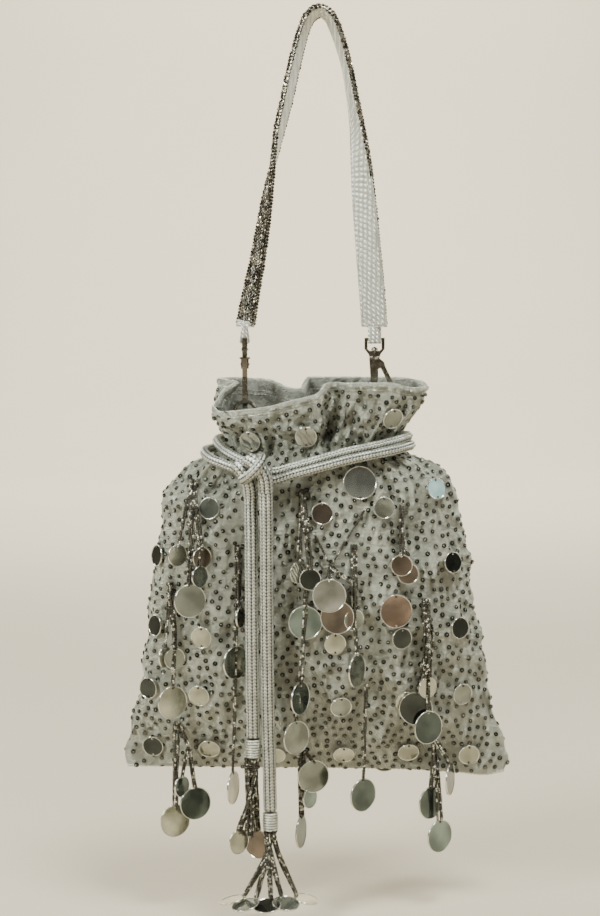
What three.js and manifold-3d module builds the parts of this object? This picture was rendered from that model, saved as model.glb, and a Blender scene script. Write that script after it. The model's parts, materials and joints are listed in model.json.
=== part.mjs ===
// Reticule: a soft drawstring pouch whose strap snaps to two rings inside its mouth.
// Millimetres, +X right, +Y away from the front, +Z up. The origin is the underside of the
// strap's highest point, where the reticule hangs.

import * as THREE from 'three';
import { mergeVertices } from 'three/addons/utils/BufferGeometryUtils.js';
import Module from 'manifold-3d';

const wasm = await Module();
wasm.setup();

// Fits
const clearance = 0.3;
const clothWall = 2;
const routeMargin = 0.5;
const strandMargin = 0.4;
const sliver = 0.02;

// Pouch
const hemWidth = 234;
const bodyHeight = 196;
const bodyDepth = 76;
const collarWidth = 129;
const collarHeight = 38;
const pouchMiddle = -2;
const gatherCount = 16;
const gatherDepth = 1.2;
const gatherReach = 26;
const foldDepth = 4;
const gussetDepth = 15;
const valleyDepth = 11;
const pleatDepth = 17;
const rimFall = 17.5;
const hemSag = 5.5;

// Strap
const strapDrop = 184;
const strapWidth = 16.5;
const strapThickness = 4;
const strapLeftFoot = 0.345 * collarWidth;
const strapRightFoot = 0.256 * collarWidth;
const tabWidth = 7.8;
const tabDrop = 6.3;
const tabWall = 1.3;

// Snap hooks
const bailWidth = 12;
const bailHeight = 11.2;
const bailWire = 1.8;
const bailDepth = 3;
const bailShoulder = 6.6;
const bossWidth = 6.6;
const bossHeight = 3.4;
const pinRadius = 1.2;
const domeRadius = 2.3;
const collarRadius = 3.2;
const collarThickness = 1.2;
const shankWidth = 5.4;
const shankDepth = 3;
const hookBendRadius = 5.2;
const hookBendDrop = 23.5;
const hookBendThickness = 2.8;
const hookTipRise = 2.5;
const earThickness = 0.9;
const gateDepth = 2.2;
const gateWidth = 2.8;
const gatePivotReach = 4.4;
const gatePivotDrop = 4.5;
const gatePinRadius = 0.8;
const gateBarrelRadius = 1.6;
const leftHookTurn = 90;
const rightHookTurn = 0;

// Rings and their tabs
const ringRadius = 6.2;
const ringWire = 1.1;
const ringSides = 16;
const ringTabSlack = 0.6;
const ringTabWidth = 6;
const ringTabDrop = 13;

// Drawstring and tassels
const cordDiameter = 8;
const turnDiameter = 5.6;
const cordSides = 8;
const tasselHeadRadius = 4.6;
const tasselHeadHeight = 11;
const beadStrandRadius = 1.5;
const strandSides = 5;
const strandStep = 16;

// Round sequins
const sequinThickness = 1;
const sequinSides = 12;
const hangingSides = 10;
const smallSequin = 13;
const middleSequin = 16.5;
const largeSequin = 20;
const sequinHoleInset = 1.4;
const lyingTilt = 14;

// Heights that follow from the sizes above
const bailTop = -(strapDrop + clearance + tabDrop);
const hookTop = bailTop - bailHeight - clearance;
const bendCentre = hookTop - hookBendDrop;
const ringFall = (shankDepth / 2 + clearance) * Math.tan(Math.PI / ringSides);
const ringTop = bendCentre - hookBendRadius + clearance + ringWire + ringFall;
const ringCentre = ringTop - ringRadius;
const ringBottom = ringCentre - ringRadius;
const tieHeight = ringBottom - ringTabDrop - 2 * clearance;
const hemHeight = tieHeight - bodyHeight;
const cordRadius = cordDiameter / 2;
const turnRadius = turnDiameter / 2;
const columns = 64;
const narrowest = 0.98;

// The pouch, from the bottom seam at level 0 to the tie at 1 and the rim at 2. left and right
// are shares of half the hem's width, or of half the collar's from the tie up. front and back
// are shares of half the depth. square runs from 1.5, a lens, to 3, a box with round corners.
const sections = [
  { level: 0.0, left: 0.98, right: 0.98, front: 0.07, back: 0.07, square: 1.6 },
  { level: 0.04, left: 1.0, right: 1.0, front: 0.24, back: 0.22, square: 1.6 },
  { level: 0.1, left: 0.985, right: 0.975, front: 0.46, back: 0.42, square: 1.6 },
  { level: 0.2, left: 0.945, right: 0.93, front: 0.74, back: 0.66, square: 1.7 },
  { level: 0.33, left: 0.895, right: 0.885, front: 0.94, back: 0.84, square: 1.8 },
  { level: 0.46, left: 0.865, right: 0.85, front: 1.0, back: 0.9, square: 1.85 },
  { level: 0.6, left: 0.845, right: 0.805, front: 0.98, back: 0.9, square: 1.9 },
  { level: 0.74, left: 0.82, right: 0.76, front: 0.91, back: 0.85, square: 1.95 },
  { level: 0.84, left: 0.785, right: 0.73, front: 0.83, back: 0.78, square: 2.0 },
  { level: 0.895, left: 0.735, right: 0.705, front: 0.77, back: 0.73, square: 2.0 },
  { level: 0.94, left: 0.65, right: 0.63, front: 0.7, back: 0.67, square: 2.1 },
  { level: 0.96, left: 0.585, right: 0.55, front: 0.66, back: 0.64, square: 2.2 },
  { level: 0.98, left: 0.5, right: 0.46, front: 0.61, back: 0.59, square: 2.2 },
  { level: 1.0, left: 0.84, right: 0.76, front: 0.57, back: 0.55, square: 2.3 },
  { level: 1.15, left: 0.86, right: 0.775, front: 0.59, back: 0.57, square: 2.4 },
  { level: 1.3, left: 0.92, right: 0.85, front: 0.65, back: 0.63, square: 2.5 },
  { level: 1.5, left: 0.965, right: 0.93, front: 0.7, back: 0.68, square: 2.7 },
  { level: 1.75, left: 0.985, right: 1.0, front: 0.74, back: 0.72, square: 2.9 },
  { level: 2.0, left: 0.99, right: 1.03, front: 0.75, back: 0.73, square: 3.0 },
];

// Folds push the wall inward. around counts quarter turns: 0 the right end, 1 the middle of the
// back, 2 the left end, 3 the middle of the front. before and after are the widths of the two
// slopes, and share is the part of depth that the fold takes.
const folds = [
  { name: 'side gusset', around: 2.0, before: 0.2, after: 0.2, from: 1.0, full: 2.2, depth: gussetDepth, share: 1 },
  { name: 'front valley', around: 3.12, before: 0.08, after: 0.08, from: 0.94, full: 1.2, depth: valleyDepth, share: 1 },
  { name: 'back pleat', around: 1.13, before: 0.07, after: 0.3, from: 1.05, full: 1.6, depth: pleatDepth, share: 1 },
  { name: 'right shoulder', around: 3.7, before: 0.12, after: 0.12, from: 0.9, full: 1.0, depth: foldDepth, share: 0.7 },
];

// Soft dents of the stuffed body, fading out at the levels bottom and top.
const dents = [
  { around: 2.59, width: 0.12, bottom: 0.05, top: 0.85, share: 0.9 },
  { around: 2.82, width: 0.12, bottom: 0.08, top: 0.9, share: 1.0 },
  { around: 3.25, width: 0.12, bottom: 0.1, top: 0.6, share: 0.7 },
  { around: 3.56, width: 0.14, bottom: 0.15, top: 0.9, share: 0.9 },
  { around: 0.6, width: 0.14, bottom: 0.1, top: 0.9, share: 0.8 },
  { around: 1.1, width: 0.14, bottom: 0.1, top: 0.8, share: 0.9 },
  { around: 1.6, width: 0.14, bottom: 0.1, top: 0.9, share: 0.8 },
];

// How far the rim falls below its highest line, as shares of rimFall.
const rimLine = [
  { around: 0.0, fall: 0.15 },
  { around: 0.4, fall: 0 },
  { around: 1.06, fall: 0 },
  { around: 1.13, fall: 0.34 },
  { around: 1.4, fall: 0.06 },
  { around: 1.7, fall: 0 },
  { around: 2.0, fall: 0.04 },
  { around: 2.26, fall: 1.0 },
  { around: 2.49, fall: 0.9 },
  { around: 2.64, fall: 0.8 },
  { around: 2.83, fall: 0.58 },
  { around: 3.0, fall: 0.38 },
  { around: 3.08, fall: 0.03 },
  { around: 3.5, fall: 0 },
  { around: 3.75, fall: 0.2 },
  { around: 4.0, fall: 0.15 },
];

// How far the bottom seam sags, as shares of hemSag, on the front and back alike.
const hemLine = [
  { around: 0.0, sag: 0.6 },
  { around: 0.1, sag: 1.0 },
  { around: 0.25, sag: 0.7 },
  { around: 0.5, sag: 0.35 },
  { around: 1.0, sag: 0.15 },
  { around: 2.0, sag: 0 },
  { around: 3.0, sag: 0.15 },
  { around: 3.5, sag: 0.35 },
  { around: 3.75, sag: 0.7 },
  { around: 3.9, sag: 1.0 },
  { around: 4.0, sag: 0.6 },
];

// Levels of the inner face, from the inside bottom up to the rim.
const innerLevels = [0.1, 0.25, 0.5, 0.8, 0.94, 0.98, 1.0, 1.15, 1.3, 1.5, 2.0];

// The strap's legs from the top down. drop is a share of strapDrop, reach of the leg's foot.
// turn is how far the stoned face turns to the front, in degrees.
const strapLegs = [
  { drop: 0.04, left: 0.2, right: 0.27, leftTurn: -15, rightTurn: -16 },
  { drop: 0.15, left: 0.33, right: 0.47, leftTurn: -17, rightTurn: -13 },
  { drop: 0.27, left: 0.44, right: 0.6, leftTurn: -17, rightTurn: -16 },
  { drop: 0.36, left: 0.53, right: 0.68, leftTurn: -14, rightTurn: -24 },
  { drop: 0.44, left: 0.595, right: 0.73, leftTurn: -5, rightTurn: -36 },
  { drop: 0.52, left: 0.655, right: 0.77, leftTurn: 7, rightTurn: -46 },
  { drop: 0.6, left: 0.71, right: 0.81, leftTurn: 16, rightTurn: -54 },
  { drop: 0.7, left: 0.775, right: 0.86, leftTurn: 22, rightTurn: -60 },
  { drop: 0.8, left: 0.845, right: 0.91, leftTurn: 26, rightTurn: -63 },
  { drop: 0.9, left: 0.93, right: 0.96, leftTurn: 32, rightTurn: -67 },
  { drop: 1.0, left: 1.0, right: 1.0, leftTurn: 37, rightTurn: -67 },
];

// The drawstring's two turns round the neck, from the hitch at the left of the front, round the
// left end and the back to the right of the front, where the pulled cord is thinner than its
// hanging ends. rise is the middle of the pair above the tie, apart the height between the two,
// both shares of a turn's diameter.
const drawstringTurns = [
  { around: 2.52, rise: -2, apart: 0.8 },
  { around: 2.38, rise: -1.38, apart: 0.75 },
  { around: 2.2, rise: -0.75, apart: 0.8 },
  { around: 2.05, rise: -0.12, apart: 1 },
  { around: 1.9, rise: 0.04, apart: 1.06 },
  { around: 1.75, rise: 0.05, apart: 1.06 },
  { around: 1.62, rise: 0.07, apart: 1.06 },
  { around: 1.5, rise: 0, apart: 1.06 },
  { around: 1.25, rise: -0.14, apart: 1.06 },
  { around: 1, rise: -0.14, apart: 1.06 },
  { around: 0.75, rise: 0, apart: 1.06 },
  { around: 0.5, rise: 0.14, apart: 1.06 },
  { around: 0.25, rise: 0.29, apart: 1.06 },
  { around: 0.05, rise: 0.46, apart: 1 },
  { around: -0.1, rise: 0.54, apart: 0.9 },
  { around: -0.25, rise: 0.32, apart: 0.8 },
  { around: -0.45, rise: -0.09, apart: 0.7 },
  { around: -0.7, rise: -0.59, apart: 0.7 },
  { around: -0.95, rise: -1.29, apart: 0.72 },
  { around: -1.15, rise: -2.09, apart: 0.8 },
  { around: -1.27, rise: -2.71, apart: 0.9 },
];

// Routes of the two hanging tails and the points where their tassels' strands end, chosen by
// hand. Each tail's first point is its exit from the hitch.
const tailLeftRoute = [
  [-40.2, -37.6, -281.0], [-40.2, -37.6, -284.0], [-40.1, -38.6, -291.0], [-40.0, -40.2, -300.0], [-39.9, -41.4, -312.0],
  [-39.9, -42.3, -325.0], [-39.8, -42.9, -338.0], [-39.8, -43.2, -350.0], [-39.7, -43.4, -362.0],
  [-39.6, -43.5, -374.0], [-39.5, -43.5, -386.0], [-39.4, -43.4, -396.0], [-39.3, -43.3, -405.0],
  [-39.2, -43.2, -413.0], [-39.1, -43.1, -419.0], [-39.1, -43.0, -424.3],
];
const tailRightRoute = [
  [-31.2, -45.0, -277.0], [-31.2, -45.0, -280.0], [-31.1, -45.2, -288.0], [-31.0, -45.2, -299.0], [-31.0, -44.9, -312.0],
  [-31.0, -44.6, -325.0], [-31.0, -44.3, -338.0], [-30.9, -44.2, -352.0], [-30.8, -44.1, -366.0],
  [-30.7, -44.0, -380.0], [-30.5, -43.9, -395.0], [-30.3, -43.7, -410.0], [-30.0, -43.5, -425.0],
  [-29.6, -43.3, -440.0], [-29.3, -43.1, -455.0], [-29.0, -43.0, -468.3],
];

// Where the tassels' strands end. size is the round sequin's at the end, if any. An upright
// sequin has a turn about the vertical, a lying one a heading from its hole, 0 along +X.
const tasselLeftStrands = [
  { x: -47.5, y: -47.5, z: -479.2, size: 15, turn: 42 },
  { x: -43.5, y: -42.5, z: -481.0, size: 0 },
  { x: -40.5, y: -47.0, z: -483.0, size: 0 },
  { x: -37.0, y: -34.5, z: -482.8, size: 18, turn: -35 },
];
const tasselRightStrands = [
  { x: -45.0, y: -47.0, z: -519.4, size: middleSequin, heading: 170 },
  { x: -38.0, y: -51.0, z: -519.9, size: middleSequin, heading: 213 },
  { x: -28.5, y: -50.0, z: -519.8, size: middleSequin, heading: 250 },
  { x: -22.2, y: -47.5, z: -519.2, size: middleSequin, heading: 291 },
  { x: -13.5, y: -44.5, z: -518.8, size: 15, heading: 337 },
];

// Round sequins stitched flat to the cloth. across is a share of half the hem's width from the
// pouch's middle, up a level as in the sections.
const flatSequins = [
  { name: 'collar_left', across: -0.33, up: 1.12, size: smallSequin },
  { name: 'collar_middle', across: -0.05, up: 1.2, size: smallSequin },
  { name: 'collar_right', across: 0.38, up: 1.49, size: smallSequin },
  { name: 'neck_large', across: 0.22, up: 0.9, size: largeSequin },
  { name: 'shoulder_right', across: 0.605, up: 0.875, size: smallSequin },
  { name: 'shoulder_left', across: -0.535, up: 0.82, size: smallSequin },
  { name: 'centre_brown', across: 0.03, up: 0.81, size: smallSequin },
  { name: 'centre_pale', across: 0.34, up: 0.825, size: smallSequin },
  { name: 'side_right_high', across: 0.69, up: 0.65, size: smallSequin },
  { name: 'side_left_high', across: -0.82, up: 0.665, size: smallSequin },
  { name: 'copper_large', across: 0.395, up: 0.515, size: largeSequin },
  { name: 'dark_middle', across: 0.43, up: 0.43, size: smallSequin },
  { name: 'side_right_middle', across: 0.73, up: 0.45, size: smallSequin },
  { name: 'under_swag', across: 0.095, up: 0.42, size: smallSequin },
  { name: 'side_left_middle', across: -0.82, up: 0.45, size: smallSequin },
  { name: 'left_upper', across: -0.575, up: 0.43, size: smallSequin },
  { name: 'left_lower', across: -0.595, up: 0.245, size: smallSequin },
  { name: 'side_left_low', across: -0.855, up: 0.255, size: smallSequin },
  { name: 'low_middle', across: 0.125, up: 0.22, size: smallSequin },
  { name: 'side_right_low', across: 0.755, up: 0.24, size: smallSequin },
  { name: 'clear_low', across: 0.455, up: 0.23, size: smallSequin },
  { name: 'hem_left_1', across: -0.845, up: 0.065, size: smallSequin },
  { name: 'hem_left_2', across: -0.55, up: 0.065, size: smallSequin },
  { name: 'hem_left_3', across: -0.21, up: 0.05, size: smallSequin },
  { name: 'hem_middle', across: 0.145, up: 0.05, size: smallSequin },
  { name: 'hem_right_1', across: 0.48, up: 0.05, size: smallSequin },
  { name: 'hem_right_2', across: 0.795, up: 0.04, size: smallSequin },
];
const backSequin = { name: 'behind_hem', across: 0.36, up: 0.015, size: middleSequin };

// Hanging strings of beads. Each row is one run from its top to its foot, in the shares that the
// flat sequins use, as thick as its bundle of strands, with a round sequin under its foot where
// size isn't 0. turn is the sequin's turn about the vertical, in degrees. Runs of one string
// share their points.
const strings = {
  left_shoulder: [
    { top: [-0.625, 0.905], foot: [-0.635, 0.59], thick: 5, size: largeSequin, turn: 25 },
    { top: [-0.625, 0.905], foot: [-0.7, 0.705], thick: 3, size: smallSequin, turn: 35 },
    { top: [-0.625, 0.905], foot: [-0.575, 0.7], thick: 4, size: smallSequin, turn: 35 },
    { top: [-0.625, 0.905], foot: [-0.585, 0.645], thick: 3, size: smallSequin, turn: 45 },
  ],
  left_low: [
    { top: [-0.74, 0.59], foot: [-0.72, 0.385], thick: 4.5, size: smallSequin, turn: 20 },
    { top: [-0.74, 0.59], foot: [-0.77, 0.39], thick: 3, size: smallSequin, turn: 60 },
    { top: [-0.72, 0.385], foot: [-0.73, 0.27], thick: 3, size: largeSequin, turn: 35 },
  ],
  left_long: [
    { top: [-0.395, 0.715], foot: [-0.395, 0.55], thick: 5, size: 0, turn: 0 },
    { top: [-0.395, 0.55], foot: [-0.38, 0.525], thick: 3, size: smallSequin, turn: 68 },
    { top: [-0.395, 0.55], foot: [-0.405, 0.405], thick: 4, size: largeSequin, turn: 45 },
    { top: [-0.405, 0.405], foot: [-0.42, 0.02], thick: 3, size: largeSequin, turn: 72 },
  ],
  left_hem: [
    { top: [-0.715, 0.16], foot: [-0.725, -0.11], thick: 5, size: largeSequin, turn: 30 },
    { top: [-0.715, 0.16], foot: [-0.655, 0.08], thick: 4, size: 0, turn: 0 },
    { top: [-0.655, 0.08], foot: [-0.62, -0.055], thick: 4, size: largeSequin, turn: 25 },
    { top: [-0.655, 0.08], foot: [-0.69, -0.02], thick: 3, size: smallSequin, turn: 52 },
  ],
  middle: [
    { top: [-0.05, 0.6], foot: [-0.055, 0.53], thick: 4, size: largeSequin, turn: 0 },
    { top: [-0.055, 0.53], foot: [-0.08, 0.3], thick: 4, size: largeSequin, turn: 58 },
    { top: [-0.08, 0.3], foot: [-0.1, 0.18], thick: 3, size: largeSequin, turn: 42 },
  ],
  centre: [
    { top: [-0.07, 0.88], foot: [-0.09, 0.665], thick: 4, size: smallSequin, turn: 42 },
    { top: [-0.07, 0.88], foot: [-0.03, 0.645], thick: 5, size: smallSequin, turn: 0 },
  ],
  swag: [
    { top: [-0.01, 0.755], foot: [0.07, 0.655], thick: 2.5, size: 0, turn: 0 },
    { top: [0.25, 0.825], foot: [0.07, 0.655], thick: 2.5, size: 0, turn: 0 },
    { top: [0.07, 0.655], foot: [0.065, 0.615], thick: 4, size: largeSequin, turn: 0 },
    { top: [0.19, 0.72], foot: [0.19, 0.52], thick: 5, size: smallSequin, turn: 25 },
    { top: [0.07, 0.655], foot: [0.19, 0.6], thick: 4, size: 0, turn: 0 },
    { top: [0.19, 0.6], foot: [0.105, 0.548], thick: 3, size: largeSequin, turn: 0 },
    { top: [0.19, 0.52], foot: [0.205, 0.385], thick: 3, size: largeSequin, turn: 60 },
  ],
  right_long: [
    { top: [0.255, 0.29], foot: [0.24, -0.01], thick: 3, size: largeSequin, turn: 40 },
  ],
  right_shoulder: [
    { top: [0.43, 0.85], foot: [0.43, 0.68], thick: 4, size: smallSequin, turn: 0 },
    { top: [0.43, 0.77], foot: [0.462, 0.655], thick: 3, size: smallSequin, turn: 0 },
  ],
  right_curl: [
    { top: [0.565, 0.55], foot: [0.565, 0.305], thick: 8, size: smallSequin, turn: 35 },
    { top: [0.565, 0.305], foot: [0.57, 0.2], thick: 4, size: largeSequin, turn: 32 },
    { top: [0.565, 0.4], foot: [0.507, 0.255], thick: 4, size: largeSequin, turn: 0 },
  ],
  right_hem: [
    { top: [0.61, 0.1], foot: [0.595, -0.06], thick: 4, size: largeSequin, turn: 42 },
    { top: [0.61, 0.1], foot: [0.643, -0.165], thick: 5, size: largeSequin, turn: 40 },
    { top: [0.61, 0.1], foot: [0.695, 0.015], thick: 4, size: largeSequin, turn: 72 },
  ],
  middle_hem: [
    { top: [-0.075, 0.08], foot: [-0.076, -0.145], thick: 5, size: largeSequin, turn: 72 },
    { top: [-0.075, 0.08], foot: [-0.03, -0.055], thick: 3, size: smallSequin, turn: 50 },
    { top: [-0.075, 0.08], foot: [-0.012, 0.03], thick: 3, size: largeSequin, turn: 20 },
  ],
};

// Materials
const cloth = new THREE.MeshStandardMaterial({ color: '#9c988a', roughness: 0.55, metalness: 0.25 });
const ribbon = new THREE.MeshStandardMaterial({ color: '#b9b7ac', roughness: 0.4, metalness: 0.5 });
const braid = new THREE.MeshStandardMaterial({ color: '#c4c2b8', roughness: 0.35, metalness: 0.7 });
const gunmetal = new THREE.MeshStandardMaterial({ color: '#5b5349', roughness: 0.3, metalness: 1 });
const mirrored = new THREE.MeshStandardMaterial({ color: '#b3afa0', roughness: 0.12, metalness: 1 });
const beads = new THREE.MeshStandardMaterial({ color: '#6f6b60', roughness: 0.25, metalness: 0.8 });

const reticule = new THREE.Group();
const lyingOn = [];
const hangingOver = [];

function add(name, geometry, material) {
  const mesh = new THREE.Mesh(geometry, material);
  mesh.name = name;
  mesh.updateMatrixWorld(true);
  reticule.add(mesh);
  return mesh;
}

// Adds a piece that the strings of beads must hang in front of.
function addBehind(name, geometry, material) {
  hangingOver.push(add(name, geometry, material));
}

// Solids

function solid(geometry) {
  const bare = geometry.clone();
  bare.deleteAttribute('normal');
  bare.deleteAttribute('uv');
  const merged = mergeVertices(bare);
  return new wasm.Manifold(new wasm.Mesh({
    numProp: 3,
    vertProperties: new Float32Array(merged.attributes.position.array),
    triVerts: new Uint32Array(merged.index.array),
  }));
}

// The slivers that joining leaves are taken out.
function geometryOf(manifold) {
  const mesh = manifold.simplify(sliver).getMesh();
  const geometry = new THREE.BufferGeometry();
  geometry.setAttribute('position', new THREE.BufferAttribute(mesh.vertProperties, 3));
  geometry.setIndex(new THREE.BufferAttribute(mesh.triVerts, 1));
  return geometry;
}

function fused(parts) {
  return geometryOf(parts.map(solid).reduce((whole, part) => whole.add(part)));
}

function cut(geometry, tools) {
  return geometryOf(tools.map(solid).reduce((whole, tool) => whole.subtract(tool), solid(geometry)));
}

function prism(shape, depth, middleY = 0) {
  const geometry = new THREE.ExtrudeGeometry(shape, { depth, bevelEnabled: false, curveSegments: 6 });
  return geometry.translate(0, 0, -depth / 2).rotateX(Math.PI / 2).translate(0, middleY, 0);
}

function shapeOf(points) {
  return new THREE.Shape(points.map(([x, z]) => new THREE.Vector2(x, z)));
}

// A round bar along a smooth curve through the points.
function tube(points, radius, sides, stepLength) {
  const curve = new THREE.CatmullRomCurve3(points, false, 'centripetal');
  const section = new THREE.Shape();
  for (let side = 0; side < sides; side++) {
    const angle = (2 * Math.PI * side) / sides;
    section[side ? 'lineTo' : 'moveTo'](radius * Math.cos(angle), radius * Math.sin(angle));
  }
  const steps = Math.max(1, Math.round(curve.getLength() / stepLength));
  return new THREE.ExtrudeGeometry(section, { extrudePath: curve, steps, bevelEnabled: false });
}

// A closed skin through rings of equal count, capped by joining the two halves of its end rings.
function skin(rings) {
  const count = rings[0].length;
  const geometry = new THREE.BufferGeometry().setFromPoints(rings.flat());
  const faces = [];
  for (let ring = 0; ring + 1 < rings.length; ring++) {
    for (let column = 0; column < count; column++) {
      const next = (column + 1) % count;
      const low = ring * count;
      const high = low + count;
      faces.push(low + column, low + next, high + next, low + column, high + next, high + column);
    }
  }
  const last = (rings.length - 1) * count;
  for (let column = 0; column < count / 2; column++) {
    const a = column;
    const b = column + 1;
    const c = count - 1 - column;
    const d = (count - column) % count;
    if (d !== a) faces.push(a, d, c, last + a, last + c, last + d);
    if (b !== c) faces.push(a, c, b, last + a, last + b, last + c);
  }
  geometry.setIndex(faces);
  return geometry;
}

// Pouch

function mix(a, b, share) {
  return a + (b - a) * share;
}

function smooth(share) {
  const t = THREE.MathUtils.clamp(share, 0, 1);
  return t * t * (3 - 2 * t);
}

function rowAt(rows, key, value) {
  const after = rows.findIndex((row) => row[key] >= value);
  if (after <= 0) return rows[after === 0 ? 0 : rows.length - 1];
  const low = rows[after - 1];
  const high = rows[after];
  const share = (value - low[key]) / (high[key] - low[key]);
  const row = {};
  for (const name of Object.keys(low)) row[name] = mix(low[name], high[name], share);
  return row;
}

function heightAt(level) {
  return level < 1 ? hemHeight + level * bodyHeight : tieHeight + (level - 1) * collarHeight;
}

function levelAt(height) {
  return height < tieHeight ? (height - hemHeight) / bodyHeight : 1 + (height - tieHeight) / collarHeight;
}

// A quarter of the plan outline, from its end on X to its middle on Y, in equal steps.
function quarterOutline(reach, depth, square) {
  const points = [];
  const fineSteps = 60;
  for (let step = 0; step <= fineSteps; step++) {
    const angle = (step / fineSteps) * (Math.PI / 2);
    points.push(new THREE.Vector2(
      reach * Math.max(0, Math.cos(angle)) ** (2 / square),
      depth * Math.max(0, Math.sin(angle)) ** (2 / square),
    ));
  }
  return new THREE.SplineCurve(points).getSpacedPoints(columns / 4);
}

const outlines = new Map();

// The smooth plan outline at a level, without folds, counter-clockwise from the right end.
function outlineAt(level) {
  if (outlines.has(level)) return outlines.get(level);
  const row = rowAt(sections, 'level', level);
  const below = rowAt(sections, 'level', Math.min(level, narrowest));
  const half = level < 1 ? hemWidth / 2 : collarWidth / 2;
  let { left, right } = row;
  if (level > narrowest && level < 1) {
    const tie = rowAt(sections, 'level', 1);
    const share = (level - narrowest) / (1 - narrowest);
    left = mix(below.left, (tie.left * collarWidth) / hemWidth, share);
    right = mix(below.right, (tie.right * collarWidth) / hemWidth, share);
  }
  const front = (row.front * bodyDepth) / 2;
  const back = (row.back * bodyDepth) / 2;
  const quarters = [
    [right * half, back, 1, 1, false],
    [left * half, back, -1, 1, true],
    [left * half, front, -1, -1, false],
    [right * half, front, 1, -1, true],
  ];
  const points = [];
  for (const [reach, depth, signX, signY, backward] of quarters) {
    const quarter = quarterOutline(reach, depth, row.square);
    if (backward) quarter.reverse();
    quarter.pop();
    for (const point of quarter) points.push(new THREE.Vector2(pouchMiddle + signX * point.x, signY * point.y));
  }
  outlines.set(level, points);
  return points;
}

// Outward directions of a closed counter-clockwise outline.
function outwardOf(points) {
  return points.map((_, index) => {
    const before = points[(index + points.length - 1) % points.length];
    const after = points[(index + 1) % points.length];
    return new THREE.Vector2(after.y - before.y, before.x - after.x).normalize();
  });
}

function foldAt(around, level) {
  let inward = 0;
  for (const fold of folds) {
    let offset = around - fold.around;
    if (offset > 2) offset -= 4;
    if (offset < -2) offset += 4;
    const slope = offset < 0 ? fold.before : fold.after;
    const near = smooth(1 - Math.abs(offset) / slope);
    inward += fold.depth * fold.share * near * smooth((level - fold.from) / (fold.full - fold.from));
  }
  for (const dent of dents) {
    const near = smooth(1 - Math.abs(around - dent.around) / dent.width);
    const middle = (dent.bottom + dent.top) / 2;
    const tall = smooth(1.6 * (1 - Math.abs(level - middle) / (dent.top - middle)));
    inward += foldDepth * dent.share * near * tall;
  }
  return inward;
}

function gatherAt(around, level) {
  const far = Math.abs(heightAt(level) - tieHeight) / gatherReach;
  return gatherDepth * smooth(1 - far) * Math.cos((around / 4) * gatherCount * 2 * Math.PI);
}

function pouchRing(level, inset) {
  const base = outlineAt(level);
  const outward = outwardOf(base);
  const folded = base.map((point, column) => {
    const around = (4 * column) / columns;
    const move = gatherAt(around, level) - foldAt(around, level);
    return point.clone().addScaledVector(outward[column], move);
  });
  const foldedOutward = outwardOf(folded);
  const rimShare = smooth((level - 1.15) / 0.85);
  const hemShare = smooth(1 - level / 0.25);
  return folded.map((point, column) => {
    const around = (4 * column) / columns;
    const edge = point.clone().addScaledVector(foldedOutward[column], -inset);
    const fall = rowAt(rimLine, 'around', around).fall * rimFall * rimShare;
    const sag = rowAt(hemLine, 'around', around).sag * hemSag * hemShare;
    return new THREE.Vector3(edge.x, edge.y, heightAt(level) - fall - sag);
  });
}

function makePouch() {
  const outside = sections.map((row) => pouchRing(row.level, 0));
  const inside = [...innerLevels].reverse().map((level) => pouchRing(level, clothWall));
  addBehind('pouch', skin([...outside, ...inside]), cloth);
  lyingOn.push(hangingOver[0]);
}

// Seating on the front of what is already there

const caster = new THREE.Raycaster();
const frontStart = -200;
const towardsBack = new THREE.Vector3(0, 1, 0);

// Y of the foremost surface at x and z, or null beside and below the pouch.
function frontAt(x, z) {
  caster.set(new THREE.Vector3(x, frontStart, z), towardsBack);
  const hits = caster.intersectObjects(hangingOver, false);
  return hits.length ? hits[0].point.y : null;
}

function frontOver(points) {
  let limit = null;
  for (const { x, z, behind } of points) {
    const surface = frontAt(x, z);
    if (surface !== null) limit = Math.min(limit ?? Infinity, surface - behind);
  }
  return limit;
}

function placeOf([across, up]) {
  return { x: pouchMiddle + (across * hemWidth) / 2, z: heightAt(up) };
}

function disc(size, sides) {
  return new THREE.CylinderGeometry(size / 2, size / 2, sequinThickness, sides);
}

// A round sequin lying against the cloth, turned to the slope under it.
function flatSequin({ across, up, size }, towards) {
  const { x, z } = placeOf([across, up]);
  const start = new THREE.Vector3(x, -towards.y * Math.abs(frontStart), z);
  const normal = new THREE.Vector3();
  const middle = new THREE.Vector3();
  const spots = [[0, 0]];
  for (let step = 0; step < 8; step++) spots.push([Math.cos(step * Math.PI / 4), Math.sin(step * Math.PI / 4)]);
  let found = 0;
  for (const [dx, dz] of spots) {
    caster.set(start.clone().add(new THREE.Vector3(dx * size * 0.35, 0, dz * size * 0.35)), towards);
    const hit = caster.intersectObjects(lyingOn, false)[0];
    if (!hit) continue;
    normal.add(hit.face.normal);
    middle.add(hit.point);
    found += 1;
  }
  normal.normalize();
  middle.divideScalar(found);
  middle.x = x;
  middle.z = z;
  const turn = new THREE.Quaternion().setFromUnitVectors(new THREE.Vector3(0, 1, 0), normal);
  let bulge = -Infinity;
  for (let ring = 0; ring <= 6; ring++) {
    for (let side = 0; side < 2 * sequinSides; side++) {
      const angle = (Math.PI * side) / sequinSides;
      const reach = (ring / 6) * (size / 2 + clearance);
      const spot = new THREE.Vector3(reach * Math.cos(angle), 0, reach * Math.sin(angle)).applyQuaternion(turn);
      const above = middle.clone().add(spot).addScaledVector(normal, size);
      caster.set(above, normal.clone().negate());
      const hit = caster.intersectObjects(lyingOn, false)[0];
      if (hit) bulge = Math.max(bulge, size - hit.distance);
    }
  }
  const lift = bulge + clearance + sequinThickness / 2;
  return disc(size, sequinSides).applyQuaternion(turn).translate(...middle.addScaledVector(normal, lift).toArray());
}

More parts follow.
